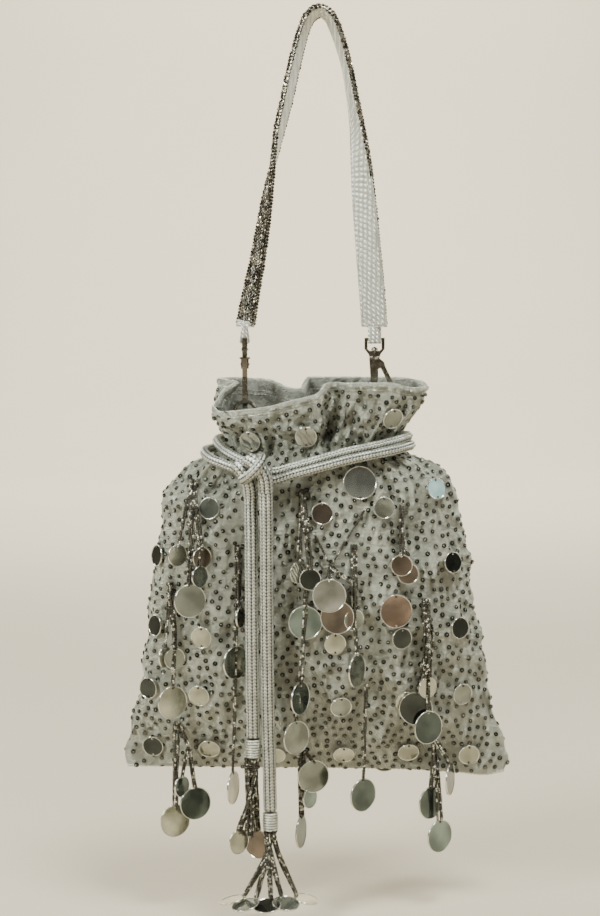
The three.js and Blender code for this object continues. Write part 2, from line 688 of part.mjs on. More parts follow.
// A round sequin hanging upright from a hole near its edge, turned about the vertical.
function hangingDisc(hole, size, turn) {
  const drop = size / 2 - sequinHoleInset;
  return disc(size, hangingSides)
    .translate(0, 0, -drop)
    .rotateZ(THREE.MathUtils.degToRad(turn))
    .translate(...hole.toArray());
}

// A round sequin that lies almost flat, its middle to one side of its hole.
function lyingDisc(hole, size, heading) {
  const reach = size / 2 - sequinHoleInset;
  return disc(size, hangingSides)
    .rotateX(Math.PI / 2)
    .translate(reach, 0, 0)
    .rotateY(THREE.MathUtils.degToRad(lyingTilt))
    .rotateZ(THREE.MathUtils.degToRad(heading))
    .translate(...hole.toArray());
}

// How far forward a hanging sequin's hole has to be to clear what is behind the sequin.
function discLimit(x, z, size, turn) {
  const angle = THREE.MathUtils.degToRad(turn);
  const points = [];
  for (let ring = 0; ring <= 4; ring++) {
    for (let side = 0; side < 2 * sequinSides; side++) {
      const spin = (Math.PI * side) / sequinSides;
      const reach = (ring / 4) * (size / 2 + clearance);
      const flat = reach * Math.cos(spin);
      const middleZ = z - size / 2 + sequinHoleInset;
      const behind = flat * Math.sin(angle) + (sequinThickness / 2) * Math.cos(angle) + clearance;
      points.push({ x: x + flat * Math.cos(angle), z: middleZ + reach * Math.sin(spin), behind });
    }
  }
  return frontOver(points);
}

function strandLimit(x, z, radius) {
  const points = [];
  for (const dx of [-1, -0.5, 0, 0.5, 1]) {
    const behind = radius * Math.sqrt(1 - dx * dx) + clearance + strandMargin;
    points.push({ x: x + dx * radius, z, behind });
  }
  return frontOver(points);
}

function makeString(name, rows) {
  const seats = new Map();
  const parts = [];
  for (const { top, foot, thick, size, turn } of rows) {
    const radius = thick / 2;
    const start = placeOf(top);
    const end = placeOf(foot);
    const steps = Math.max(2, Math.round(Math.hypot(end.x - start.x, end.z - start.z) / 4));
    const points = [];
    let forward = Math.min(seats.get(String(top)) ?? Infinity, strandLimit(start.x, start.z, radius));
    for (let step = 0; step <= steps; step++) {
      const x = mix(start.x, end.x, step / steps);
      const z = mix(start.z, end.z, step / steps);
      const limit = strandLimit(x, z, radius);
      if (limit !== null && step > 0) forward = Math.min(forward, limit);
      points.push(new THREE.Vector3(x, forward, z));
    }
    if (size) {
      const limit = discLimit(end.x, end.z, size, turn) ?? forward;
      const push = Math.min(0, limit - forward);
      points.forEach((point, index) => {
        if (index > 0) point.y += push * (index / steps);
      });
    }
    const last = points[points.length - 1];
    seats.set(String(foot), last.y);
    seats.set(String(top), points[0].y);
    const route = points.filter((_, index) => index === 0 || index === steps || index % 2 === 0);
    parts.push(tube(route, radius, strandSides, strandStep));
    if (size) parts.push(hangingDisc(last, size, turn));
  }
  addBehind(`string_${name}`, fused(parts), beads);
}

// Strap

function strapPath() {
  const rise = strapThickness / 2;
  const left = strapLegs.map((row) => ({
    x: -row.left * strapLeftFoot, z: -row.drop * strapDrop, turn: row.leftTurn,
  }));
  const right = strapLegs.map((row) => ({
    x: row.right * strapRightFoot, z: -row.drop * strapDrop, turn: row.rightTurn,
  }));
  const topTurn = (left[0].turn + right[0].turn) / 2;
  const shoulder = { x: left[0].x * 0.62, z: -1.2, turn: topTurn };
  const otherShoulder = { x: right[0].x * 0.62, z: -1.2, turn: topTurn };
  return [...left.reverse(), shoulder, { x: 0, z: rise, turn: topTurn }, otherShoulder, ...right];
}

function makeStrap() {
  const path = strapPath();
  const curve = new THREE.CatmullRomCurve3(path.map(({ x, z }) => new THREE.Vector3(x, 0, z)), false, 'centripetal');
  const spans = path.length - 1;
  const steps = 38;
  const half = strapWidth / 2;
  const thin = strapThickness / 2;
  const chamfer = 0.8;
  const outline = [
    [half, thin - chamfer], [half - chamfer, thin], [-half + chamfer, thin], [-half, thin - chamfer],
    [-half, -thin + chamfer], [-half + chamfer, -thin], [half - chamfer, -thin], [half, -thin + chamfer],
  ];
  const rings = [];
  for (let step = 0; step <= steps; step++) {
    const share = step / steps;
    const point = curve.getPoint(share);
    const tangent = curve.getTangent(share);
    if (step === 0) tangent.set(0, 0, 1);
    if (step === steps) tangent.set(0, 0, -1);
    const at = Math.min(Math.floor(share * spans), spans - 1);
    const turn = THREE.MathUtils.degToRad(mix(path[at].turn, path[at + 1].turn, share * spans - at));
    const outward = new THREE.Vector3(-tangent.z, 0, tangent.x);
    const widthways = new THREE.Vector3(0, 1, 0);
    const faced = outward.clone().multiplyScalar(Math.cos(turn)).addScaledVector(widthways, -Math.sin(turn));
    const wide = widthways.multiplyScalar(Math.cos(turn)).addScaledVector(outward, Math.sin(turn));
    rings.push(outline.map(([w, t]) => point.clone().addScaledVector(wide, w).addScaledVector(faced, t)));
  }
  add('strap', skin(rings), ribbon);
}

// Snap hooks, drawn with the bail's bar along X and the gate on the +X side of the shank

function loopTab() {
  const bar = bailDepth / 2 + clearance;
  const low = -(bailWire + clearance);
  const outer = bar + tabWall;
  const shape = shapeOf([
    [-outer + tabWall, tabDrop], [-outer, low - tabWall / 2], [-outer + tabWall, low - tabWall],
    [outer - tabWall, low - tabWall], [outer, low - tabWall / 2], [outer - tabWall, tabDrop],
  ]);
  shape.holes.push(new THREE.Path([[-bar, low], [bar, low], [bar, clearance], [-bar, clearance]]
    .map(([y, z]) => new THREE.Vector2(y, z))));
  return prism(shape, tabWidth).rotateZ(Math.PI / 2);
}

function bail() {
  const wide = bailWidth / 2;
  const boss = bossWidth / 2;
  const bottom = -bailHeight;
  const inner = bottom + bossHeight;
  const shape = shapeOf([
    [wide, 0], [-wide, 0], [-wide, -bailShoulder], [-boss, bottom + 1], [-boss, bottom],
    [boss, bottom], [boss, bottom + 1], [wide, -bailShoulder],
  ]);
  const window = wide - bailWire;
  shape.holes.push(new THREE.Path([
    [-window, -bailWire], [window, -bailWire], [window, -bailShoulder], [boss - 0.3, inner],
    [-boss + 0.3, inner], [-window, -bailShoulder],
  ].map(([x, z]) => new THREE.Vector2(x, z))));
  const bore = pinRadius + clearance;
  const hole = new THREE.CylinderGeometry(bore, bore, bailHeight, 12)
    .rotateX(Math.PI / 2).translate(0, 0, -bailHeight);
  return cut(prism(shape, bailDepth), [hole]);
}

function swivelPin() {
  const domeBase = -bailHeight + bossHeight + clearance;
  const collarTop = -bailHeight - clearance;
  const profile = [
    [0, collarTop - collarThickness], [collarRadius, collarTop - collarThickness],
    [collarRadius, collarTop], [pinRadius, collarTop], [pinRadius, domeBase], [domeRadius, domeBase],
    [domeRadius * 0.8, domeBase + domeRadius * 0.6], [0, domeBase + domeRadius],
  ];
  return new THREE.LatheGeometry(profile.map(([r, z]) => new THREE.Vector2(r, z)), 10).rotateX(Math.PI / 2);
}

function shankAndBend() {
  const top = -bailHeight - clearance - collarThickness / 2;
  const centreZ = bendCentre - bailTop;
  const rightEdge = shankWidth * 0.41;
  const leftEdge = -shankWidth * 0.59;
  const inner = hookBendRadius;
  const outer = hookBendRadius + hookBendThickness;
  const centreX = hookBendRadius + 0.4;
  const shape = new THREE.Shape();
  shape.moveTo(leftEdge, top);
  shape.lineTo(centreX - outer, centreZ + hookBendDrop / 2);
  shape.absarc(centreX, centreZ, outer, Math.PI, 2 * Math.PI, false);
  shape.lineTo(centreX + outer, centreZ + hookTipRise);
  shape.lineTo(centreX + inner, centreZ + hookTipRise);
  shape.absarc(centreX, centreZ, inner, 2 * Math.PI, Math.PI, true);
  shape.lineTo(rightEdge, centreZ + hookBendDrop / 2);
  shape.lineTo(rightEdge, top);
  return prism(shape, shankDepth);
}

const gatePivot = { x: gatePivotReach, z: -bailHeight - clearance - gatePivotDrop };

function gateEars() {
  const { x, z } = gatePivot;
  const ear = shapeOf([
    [shankWidth * 0.3, z + 3.4], [x - 1, z + 3.4], [x + 1.2, z + 1.6], [x + 1.8, z], [x + 1.2, z - 1.6],
    [x - 1.4, z - 2.2], [shankWidth * 0.3, z - 2.6],
  ]);
  const middle = shankDepth / 2 + earThickness / 2 - 0.1;
  const pinLength = 2 * (middle + earThickness);
  const pin = new THREE.CylinderGeometry(gatePinRadius, gatePinRadius, pinLength, 10)
    .translate(x, 0, z);
  return [prism(ear, earThickness, middle), prism(ear, earThickness, -middle), pin];
}

function gate() {
  const centreX = hookBendRadius + 0.4 + hookBendRadius + hookBendThickness / 2;
  const tipZ = bendCentre - bailTop + hookTipRise + clearance;
  const reach = centreX - gatePivot.x;
  const drop = gatePivot.z - tipZ;
  const lean = Math.atan2(reach, drop);
  const length = Math.hypot(reach, drop) - (gateWidth / 2) * Math.sin(lean);
  const bar = new THREE.BoxGeometry(gateWidth, gateDepth, length - gateBarrelRadius)
    .translate(0, 0, -(length + gateBarrelRadius) / 2)
    .rotateY(-lean)
    .translate(gatePivot.x, 0, gatePivot.z);
  const neck = new THREE.BoxGeometry(gateWidth, gateDepth, gateBarrelRadius)
    .translate(0, 0, -gateBarrelRadius * 0.8)
    .rotateY(-lean)
    .translate(gatePivot.x, 0, gatePivot.z);
  const barrel = new THREE.CylinderGeometry(gateBarrelRadius, gateBarrelRadius, gateDepth, 14)
    .translate(gatePivot.x, 0, gatePivot.z);
  const bore = gatePinRadius + clearance;
  const hole = new THREE.CylinderGeometry(bore, bore, 2 * gateDepth, 10).translate(gatePivot.x, 0, gatePivot.z);
  return cut(fused([barrel, neck, bar]), [hole]);
}

function ring() {
  return new THREE.TorusGeometry(ringRadius, ringWire, 6, ringSides).rotateY(Math.PI / 2)
    .translate(hookBendRadius + 0.4, 0, ringCentre - bailTop);
}

// The cloth tab from the ring to the lining, which lies reach away along the hook's X.
function ringTab(reach) {
  const x = hookBendRadius + 0.4;
  const z = ringBottom - bailTop;
  const hole = ringWire + clearance;
  const wall = clothWall * 0.6;
  const sagOfWire = ringRadius - Math.sqrt(ringRadius ** 2 - (ringTabWidth / 2) ** 2);
  const top = z + hole + sagOfWire + ringTabSlack;
  const foot = z - ringTabDrop;
  const shape = shapeOf([
    [x - hole, top + wall], [x - hole - wall, top - 0.4], [x - hole - wall, z - hole + 0.4],
    [x - 1, z - hole - wall], [reach, foot], [reach, foot + 4], [x + hole + wall, z - hole + 0.4],
    [x + hole + wall, top - 0.4], [x + hole, top + wall],
  ]);
  shape.holes.push(new THREE.Path([[x - hole, z - hole], [x + hole, z - hole], [x + hole, top], [x - hole, top]]
    .map(([px, pz]) => new THREE.Vector2(px, pz))));
  return prism(shape, ringTabWidth);
}

// How far the lining is from the hook's axis, along the hook's X, over the tab's foot.
function liningReach(footX, turn) {
  const angle = THREE.MathUtils.degToRad(turn);
  const direction = new THREE.Vector3(Math.cos(angle), Math.sin(angle), 0);
  const aside = new THREE.Vector3(-direction.y, direction.x, 0);
  let reach = Infinity;
  for (const side of [-0.5, -0.25, 0, 0.25, 0.5]) {
    for (const rise of [0, 2, 4]) {
      const start = new THREE.Vector3(footX, 0, ringBottom - ringTabDrop + rise);
      start.addScaledVector(aside, side * ringTabWidth);
      caster.set(start, direction);
      reach = Math.min(reach, caster.intersectObjects(lyingOn, false)[0].distance);
    }
  }
  return reach - clearance;
}

function makeHook(side, footX, turn) {
  const angle = THREE.MathUtils.degToRad(turn);
  const place = (geometry) => geometry.rotateZ(angle).translate(footX, 0, bailTop);
  add(`strap_tab_${side}`, place(loopTab()), ribbon);
  add(`bail_${side}`, place(bail()), gunmetal);
  add(`hook_${side}`, place(fused([swivelPin(), shankAndBend(), ...gateEars()])), gunmetal);
  add(`gate_${side}`, place(gate()), gunmetal);
  add(`ring_${side}`, place(ring()), gunmetal);
  add(`ring_tab_${side}`, place(ringTab(liningReach(footX, turn))), cloth);
}

// Drawstring

// A spot outside the smooth outline where a cord of the drawstring's size just clears the cloth.
function cordSeat(around, rise, layer) {
  const column = ((around + 4) % 4) * (columns / 4);
  const low = Math.floor(column) % columns;
  const high = (low + 1) % columns;
  const spot = (height) => {
    const outline = outlineAt(levelAt(height));
    return outline[low].clone().lerp(outline[high], column - Math.floor(column));
  };
  const outline = outlineAt(levelAt(tieHeight + rise));
  const directions = outwardOf(outline);
  const outward = directions[low].clone().lerp(directions[high], column - Math.floor(column)).normalize();
  const point = spot(tieHeight + rise);
  let push = 0;
  const samples = 4;
  for (let sample = -samples; sample <= samples; sample++) {
    const dz = (sample / samples) * turnRadius;
    const bulge = spot(tieHeight + rise + dz).sub(point).dot(outward);
    push = Math.max(push, bulge + Math.sqrt((turnRadius + clearance) ** 2 - dz * dz));
  }
  point.addScaledVector(outward, push + gatherDepth + routeMargin + layer);
  return new THREE.Vector3(point.x, point.y, tieHeight + rise);
}

function drawstringRoutes() {
  const inner = [];
  const outer = [];
  for (const { around, rise, apart } of drawstringTurns) {
    const half = (apart * turnDiameter) / 2;
    const upper = cordSeat(around, rise * turnDiameter + half, 0);
    const step = Math.sqrt(Math.max(0, (turnDiameter + clearance) ** 2 - (2 * half) ** 2));
    const lower = cordSeat(around, rise * turnDiameter - half, 0);
    const inwardGap = Math.hypot(lower.x, lower.y) - Math.hypot(upper.x, upper.y);
    const lifted = cordSeat(around, rise * turnDiameter - half, Math.max(0, step - Math.max(0, inwardGap)));
    inner.push(upper);
    outer.push(lifted);
  }
  return { inner, outer };
}

const exitRises = [5, 2, clearance];

function makeDrawstring() {
  const { inner, outer } = drawstringRoutes();
  const leftExit = new THREE.Vector3(...tailLeftRoute[0]);
  const rightExit = new THREE.Vector3(...tailRightRoute[0]);
  const above = (exit, rise) => exit.clone().add(new THREE.Vector3(0, 0, rise));
  for (const rise of exitRises) {
    outer.unshift(above(leftExit, rise));
    inner.unshift(above(rightExit, rise));
  }
  const innerEnd = inner[inner.length - 1];
  const outerEnd = outer[outer.length - 1];
  const middle = innerEnd.clone().lerp(outerEnd, 0.5);
  const up = innerEnd.clone().sub(middle);
  const along = innerEnd.clone().sub(inner[inner.length - 2]).normalize();
  along.addScaledVector(up, -along.dot(up) / up.lengthSq()).setLength(up.length());
  const bight = [innerEnd.clone().addScaledVector(along, -0.5)];
  for (let turn = 0; turn <= 6; turn++) {
    const angle = (turn * Math.PI) / 6;
    const spot = middle.clone().addScaledVector(up, Math.cos(angle));
    bight.push(spot.addScaledVector(along, Math.sin(angle)));
  }
  bight.push(outerEnd.clone().addScaledVector(along, -0.5));
  const step = 2 * turnDiameter;
  addBehind('drawstring', fused([
    tube(inner, turnRadius, cordSides, step),
    tube(outer, turnRadius, cordSides, step),
    tube(bight, turnRadius, cordSides, turnRadius * 0.6),
  ]), braid);
}

function makeTail(side, route) {
  const points = route.map((point) => new THREE.Vector3(...point));
  add(`tail_${side}`, tube(points, cordRadius, cordSides, 2.4 * cordDiameter), braid);
}

function makeTassel(side, route, strands) {
  const [x, y, z] = route[route.length - 1];
  const top = z - clearance;
  const head = new THREE.CylinderGeometry(tasselHeadRadius, tasselHeadRadius, tasselHeadHeight, 12)
    .rotateX(Math.PI / 2).translate(x, y, top - tasselHeadHeight / 2);
  const parts = [head];
  strands.forEach((strand, index) => {
    const angle = (2 * Math.PI * index) / strands.length;
    const spread = tasselHeadRadius - beadStrandRadius - 0.2;
    const start = new THREE.Vector3(x + spread * Math.cos(angle), y + spread * Math.sin(angle), 0);
    start.z = top - tasselHeadHeight + 1;
    const end = new THREE.Vector3(strand.x, strand.y, strand.z);
    const middle = start.clone().lerp(end, 0.45);
    middle.x = mix(start.x, end.x, 0.35);
    parts.push(tube([start, middle, end], beadStrandRadius, strandSides, strandStep));
    if (strand.turn) parts.push(hangingDisc(end, strand.size, strand.turn));
    if (strand.heading) parts.push(lyingDisc(end, strand.size, strand.heading));
  });
  add(`tassel_${side}`, fused(parts), beads);
}

makePouch();
makeStrap();
makeHook('left', -strapLeftFoot, leftHookTurn);
makeHook('right', strapRightFoot, rightHookTurn);
makeDrawstring();
for (const row of flatSequins) {
  addBehind(`sequin_${row.name}`, flatSequin(row, towardsBack), mirrored);
}
addBehind(`sequin_${backSequin.name}`, flatSequin(backSequin, towardsBack.clone().negate()), mirrored);
for (const [name, rows] of Object.entries(strings)) makeString(name, rows);
makeTail('left', tailLeftRoute);
makeTail('right', tailRightRoute);
makeTassel('left', tailLeftRoute, tasselLeftStrands);
makeTassel('right', tailRightRoute, tasselRightStrands);

export default reticule;
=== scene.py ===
"""Dresses the reticule: gathered silver cloth sewn with cup sequins and round mirrors, strings of
beads, a braided drawstring with tassels, a stoned strap and its snap hooks. Metres, +X right,
+Y away from the front, +Z up, with the origin where the strap hangs."""

import json
import math

import bpy
import numpy as np
from bpy.props import FloatProperty, FloatVectorProperty, IntProperty, PointerProperty
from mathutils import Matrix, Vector
from mathutils.bvhtree import BVHTree

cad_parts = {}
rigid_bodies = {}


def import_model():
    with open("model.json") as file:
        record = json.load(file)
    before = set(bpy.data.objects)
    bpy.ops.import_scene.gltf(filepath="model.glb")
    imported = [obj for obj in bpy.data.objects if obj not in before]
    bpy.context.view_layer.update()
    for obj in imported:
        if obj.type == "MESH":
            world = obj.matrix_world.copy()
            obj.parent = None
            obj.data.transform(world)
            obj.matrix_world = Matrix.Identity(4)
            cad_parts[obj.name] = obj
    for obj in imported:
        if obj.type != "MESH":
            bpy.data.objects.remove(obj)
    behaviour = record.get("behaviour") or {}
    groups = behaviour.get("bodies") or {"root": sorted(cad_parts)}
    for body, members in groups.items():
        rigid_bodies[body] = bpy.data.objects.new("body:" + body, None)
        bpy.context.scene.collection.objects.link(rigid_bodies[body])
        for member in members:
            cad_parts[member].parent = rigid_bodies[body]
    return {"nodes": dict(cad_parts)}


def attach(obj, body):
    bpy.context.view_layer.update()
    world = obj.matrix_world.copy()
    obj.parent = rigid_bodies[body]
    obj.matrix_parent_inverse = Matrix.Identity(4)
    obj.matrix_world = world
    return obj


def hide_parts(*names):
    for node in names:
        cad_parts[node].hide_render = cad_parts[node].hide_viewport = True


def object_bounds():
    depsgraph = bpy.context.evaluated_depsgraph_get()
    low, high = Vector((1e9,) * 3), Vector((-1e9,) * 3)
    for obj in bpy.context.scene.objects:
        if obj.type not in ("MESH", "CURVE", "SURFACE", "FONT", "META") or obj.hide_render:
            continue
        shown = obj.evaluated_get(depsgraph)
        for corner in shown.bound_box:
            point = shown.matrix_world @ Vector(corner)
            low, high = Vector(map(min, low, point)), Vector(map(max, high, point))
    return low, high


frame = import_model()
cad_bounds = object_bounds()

bl_info = {
    "name": "Reticule",
    "version": (1, 0, 0),
    "blender": (4, 5, 0),
    "location": "3D View > Sidebar > Reticule",
    "description": "Makes a soft drawstring reticule with mirrors, bead strings and a stoned strap",
    "category": "Add Mesh",
}

MM = 0.001
BODY = "reticule"

# Sizes shared with the solids
HEM_WIDTH = 234 * MM
BODY_HEIGHT = 196 * MM
BODY_DEPTH = 76 * MM
COLLAR_WIDTH = 129 * MM
COLLAR_HEIGHT = 38 * MM
POUCH_MIDDLE = -2 * MM
CLOTH_WALL = 2 * MM
FOLD_DEPTH = 4 * MM
RIM_FALL = 17.5 * MM
HEM_SAG = 5.5 * MM
GATHER_COUNT = 16
GATHER_DEPTH = 1.2 * MM
GATHER_REACH = 26 * MM
TIE_HEIGHT = -255.04 * MM
HEM_HEIGHT = TIE_HEIGHT - BODY_HEIGHT
CLEARANCE = 0.3 * MM
STRAP_DROP = 184 * MM
STRAP_WIDTH = 16.5 * MM
STRAP_THICKNESS = 4 * MM
STRAP_LEFT_FOOT = 0.345 * COLLAR_WIDTH
STRAP_RIGHT_FOOT = 0.256 * COLLAR_WIDTH
CORD_DIAMETER = 8 * MM
TURN_DIAMETER = 5.6 * MM
TURN_RADIUS = TURN_DIAMETER / 2
ROUTE_MARGIN = 0.5 * MM
HEAD_RADIUS = 4.6 * MM
HEAD_HEIGHT = 11 * MM
HOLE_INSET = 1.4 * MM
LYING_TILT = math.radians(14)
MIRROR_THICKNESS = 1 * MM
SMALL, MIDDLE, LARGE = 13 * MM, 16.5 * MM, 20 * MM

# Level, left, right, front, back, square. Level 0 is the seam, 1 the tie, 2 the rim. Widths are
# shares of half the hem, or of half the collar from the tie up, and depths of half the depth.
SECTIONS = np.array([
    (0.0, 0.98, 0.98, 0.07, 0.07, 1.6),
    (0.04, 1.0, 1.0, 0.24, 0.22, 1.6),
    (0.1, 0.985, 0.975, 0.46, 0.42, 1.6),
    (0.2, 0.945, 0.93, 0.74, 0.66, 1.7),
    (0.33, 0.895, 0.885, 0.94, 0.84, 1.8),
    (0.46, 0.865, 0.85, 1.0, 0.9, 1.85),
    (0.6, 0.845, 0.805, 0.98, 0.9, 1.9),
    (0.74, 0.82, 0.76, 0.91, 0.85, 1.95),
    (0.84, 0.785, 0.73, 0.83, 0.78, 2.0),
    (0.895, 0.735, 0.705, 0.77, 0.73, 2.0),
    (0.94, 0.65, 0.63, 0.7, 0.67, 2.1),
    (0.96, 0.585, 0.55, 0.66, 0.64, 2.2),
    (0.98, 0.5, 0.46, 0.61, 0.59, 2.2),
    (1.0, 0.84, 0.76, 0.57, 0.55, 2.3),
    (1.15, 0.86, 0.775, 0.59, 0.57, 2.4),
    (1.3, 0.92, 0.85, 0.65, 0.63, 2.5),
    (1.5, 0.965, 0.93, 0.7, 0.68, 2.7),
    (1.75, 0.985, 1.0, 0.74, 0.72, 2.9),
    (2.0, 0.99, 1.03, 0.75, 0.73, 3.0),
])

# Around (quarter turns from the right end, by the back), before, after, from, full, depth
FOLDS = (
    (2.0, 0.2, 0.2, 1.0, 2.2, 15 * MM),
    (3.12, 0.08, 0.08, 0.94, 1.2, 11 * MM),
    (1.13, 0.07, 0.3, 1.05, 1.6, 17 * MM),
    (3.7, 0.12, 0.12, 0.9, 1.0, 0.7 * FOLD_DEPTH),
)

# Around, width, bottom, top, share of the fold's depth
DENTS = (
    (2.59, 0.12, 0.05, 0.85, 0.9),
    (2.82, 0.12, 0.08, 0.9, 1.0),
    (3.25, 0.12, 0.1, 0.6, 0.7),
    (3.56, 0.14, 0.15, 0.9, 0.9),
    (0.6, 0.14, 0.1, 0.9, 0.8),
    (1.1, 0.14, 0.1, 0.8, 0.9),
    (1.6, 0.14, 0.1, 0.9, 0.8),
)

# Around, and how far the rim falls as a share of RIM_FALL
RIM_LINE = np.array([
    (0.0, 0.15), (0.4, 0), (1.06, 0), (1.13, 0.34), (1.4, 0.06), (1.7, 0), (2.0, 0.04),
    (2.26, 1.0), (2.49, 0.9), (2.64, 0.8), (2.83, 0.58), (3.0, 0.38), (3.08, 0.03), (3.5, 0),
    (3.75, 0.2), (4.0, 0.15),
])

# Around, and how far the seam sags as a share of HEM_SAG
HEM_LINE = np.array([
    (0.0, 0.6), (0.1, 1.0), (0.25, 0.7), (0.5, 0.35), (1.0, 0.15), (2.0, 0), (3.0, 0.15),
    (3.5, 0.35), (3.75, 0.7), (3.9, 1.0), (4.0, 0.6),
])

# Pleats that run out from the tie: how many go round, their depth, and how far they reach down
# and up. Each runs inward from the cloth's outer face.
PLEATS = (
    (23, 2.0 * MM, 74 * MM, 30 * MM),
    (37, 1.3 * MM, 50 * MM, 24 * MM),
    (59, 0.7 * MM, 30 * MM, 16 * MM),
)

# Creases in the front: start and end as (across, up), depth inward and width. Across is a share
# of half the hem's width from the pouch's middle.
CREASES = (
    ((0.155, 1.56), (0.26, 1.0), 2.6 * MM, 2.6 * MM),
    ((0.285, 1.7), (0.2, 1.2), -1.6 * MM, 3.0 * MM),
    ((0.31, 0.97), (0.4, 0.83), 1.8 * MM, 2.6 * MM),
    ((0.2, 0.95), (0.29, 0.86), 1.6 * MM, 2.4 * MM),
    ((0.5, 0.98), (0.6, 0.9), 1.8 * MM, 2.6 * MM),
    ((-0.12, 0.97), (-0.17, 0.8), 1.8 * MM, 2.8 * MM),
    ((0.03, 0.95), (-0.02, 0.72), 1.5 * MM, 3.2 * MM),
    ((0.12, 0.9), (0.1, 0.74), -1.2 * MM, 3.6 * MM),
    ((-0.4, 0.96), (-0.56, 0.86), 1.6 * MM, 2.6 * MM),
    ((-0.46, 1.04), (-0.6, 0.95), 1.4 * MM, 2.4 * MM),
    ((-0.25, 1.35), (0.02, 1.26), -1.0 * MM, 3.4 * MM),
    ((-0.1, 1.12), (0.08, 1.2), 1.2 * MM, 2.8 * MM),
    ((0.42, 1.7), (0.36, 1.2), 1.2 * MM, 3.2 * MM),
    ((0.02, 0.6), (0.16, 0.34), 1.3 * MM, 5.0 * MM),
    ((0.33, 0.62), (0.3, 0.2), 1.5 * MM, 5.5 * MM),
    ((-0.3, 0.6), (-0.36, 0.2), 1.4 * MM, 5.5 * MM),
    ((-0.66, 0.62), (-0.62, 0.3), 1.3 * MM, 5.0 * MM),
    ((0.62, 0.5), (0.66, 0.12), 1.4 * MM, 5.0 * MM),
    ((-0.05, 0.3), (0.07, 0.08), 1.2 * MM, 4.5 * MM),
)

# Drop as a share of the strap's, reach of each leg as a share of its foot's, and how far the
# stoned face turns to the front, in degrees
STRAP_LEGS = (
    (0.04, 0.2, 0.27, -15, -16),
    (0.15, 0.33, 0.47, -17, -13),
    (0.27, 0.44, 0.6, -17, -16),
    (0.36, 0.53, 0.68, -14, -24),
    (0.44, 0.595, 0.73, -5, -36),
    (0.52, 0.655, 0.77, 7, -46),
    (0.6, 0.71, 0.81, 16, -54),
    (0.7, 0.775, 0.86, 22, -60),
    (0.8, 0.845, 0.91, 26, -63),
    (0.9, 0.93, 0.96, 32, -67),
    (1.0, 1.0, 1.0, 37, -67),
)

# Around, rise of the pair's middle above the tie and the height between its two turns, both as
# shares of a turn's diameter
DRAWSTRING_TURNS = (
    (2.52, -2, 0.8), (2.38, -1.38, 0.75), (2.2, -0.75, 0.8), (2.05, -0.12, 1), (1.9, 0.04, 1.06),
    (1.75, 0.05, 1.06), (1.62, 0.07, 1.06), (1.5, 0, 1.06), (1.25, -0.14, 1.06), (1, -0.14, 1.06),
    (0.75, 0, 1.06), (0.5, 0.14, 1.06), (0.25, 0.29, 1.06), (0.05, 0.46, 1), (-0.1, 0.54, 0.9),
    (-0.25, 0.32, 0.8), (-0.45, -0.09, 0.7), (-0.7, -0.59, 0.7), (-0.95, -1.29, 0.72),
    (-1.15, -2.09, 0.8), (-1.27, -2.71, 0.9),
)

# The hitch: the end of the drawstring's bight, laid over the tails' tops, and the two cords that
# come out under it and run on into the tails
HITCH = MM * np.array([
    (-45.5, -40.5, -271.5), (-43.5, -45.5, -270.0), (-40.5, -49.5, -267.5), (-37.0, -50.5, -264.0),
    (-34.2, -48.5, -260.5), (-33.0, -43.0, -258.0),
])
LEADS = {
    "left": MM * np.array([
        (-49.5, -36.5, -262.5), (-46.5, -38.6, -265.0), (-43.5, -39.6, -268.5), (-41.2, -39.6, -273.0),
        (-40.3, -38.3, -278.5), (-40.2, -37.6, -283.5),
    ]),
    "right": MM * np.array([
        (-42.5, -40.5, -259.0), (-38.5, -43.6, -261.0), (-34.8, -45.4, -264.5), (-32.2, -45.8, -269.0),
        (-31.3, -45.3, -274.5), (-31.2, -45.0, -279.5),
    ]),
}

# The two hanging cord ends, from the hitch down
TAIL_ROUTES = {
    "left": MM * np.array([
        (-40.2, -37.6, -281.0), (-40.2, -37.6, -284.0), (-40.1, -38.6, -291.0),
        (-40.0, -40.2, -300.0), (-39.9, -41.4, -312.0), (-39.9, -42.3, -325.0),
        (-39.8, -42.9, -338.0), (-39.8, -43.2, -350.0), (-39.7, -43.4, -362.0),
        (-39.6, -43.5, -374.0), (-39.5, -43.5, -386.0), (-39.4, -43.4, -396.0),
        (-39.3, -43.3, -405.0), (-39.2, -43.2, -413.0), (-39.1, -43.1, -419.0),
        (-39.1, -43.0, -424.3),
    ]),
    "right": MM * np.array([
        (-31.2, -45.0, -277.0), (-31.2, -45.0, -280.0), (-31.1, -45.2, -288.0),
        (-31.0, -45.2, -299.0), (-31.0, -44.9, -312.0), (-31.0, -44.6, -325.0),
        (-31.0, -44.3, -338.0), (-30.9, -44.2, -352.0), (-30.8, -44.1, -366.0),
        (-30.7, -44.0, -380.0), (-30.5, -43.9, -395.0), (-30.3, -43.7, -410.0),
        (-30.0, -43.5, -425.0), (-29.6, -43.3, -440.0), (-29.3, -43.1, -455.0),
        (-29.0, -43.0, -468.3),
    ]),
}

# Where the tassels' strands end, each mirror's size, whether it hangs upright or lies, and its
# turn about the vertical or its heading, in degrees, and its tint
TASSEL_STRANDS = {
    "left": (
        ((-47.5, -47.5, -479.2), 15 * MM, "upright", 42, "pale"),
        ((-43.5, -42.5, -481.0), 0, "bare", 0, ""),
        ((-40.5, -47.0, -483.0), 0, "bare", 0, ""),
        ((-37.0, -34.5, -482.8), 18 * MM, "upright", -35, "brown"),
    ),
    "right": (
        ((-45.0, -47.0, -519.4), MIDDLE, "lying", 170, "pale"),
        ((-38.0, -51.0, -519.9), MIDDLE, "lying", 213, "grey"),
        ((-28.5, -50.0, -519.8), MIDDLE, "lying", 250, "dark"),
        ((-22.2, -47.5, -519.2), MIDDLE, "lying", 291, "grey"),
        ((-13.5, -44.5, -518.8), 15 * MM, "lying", 337, "pale"),
    ),
}

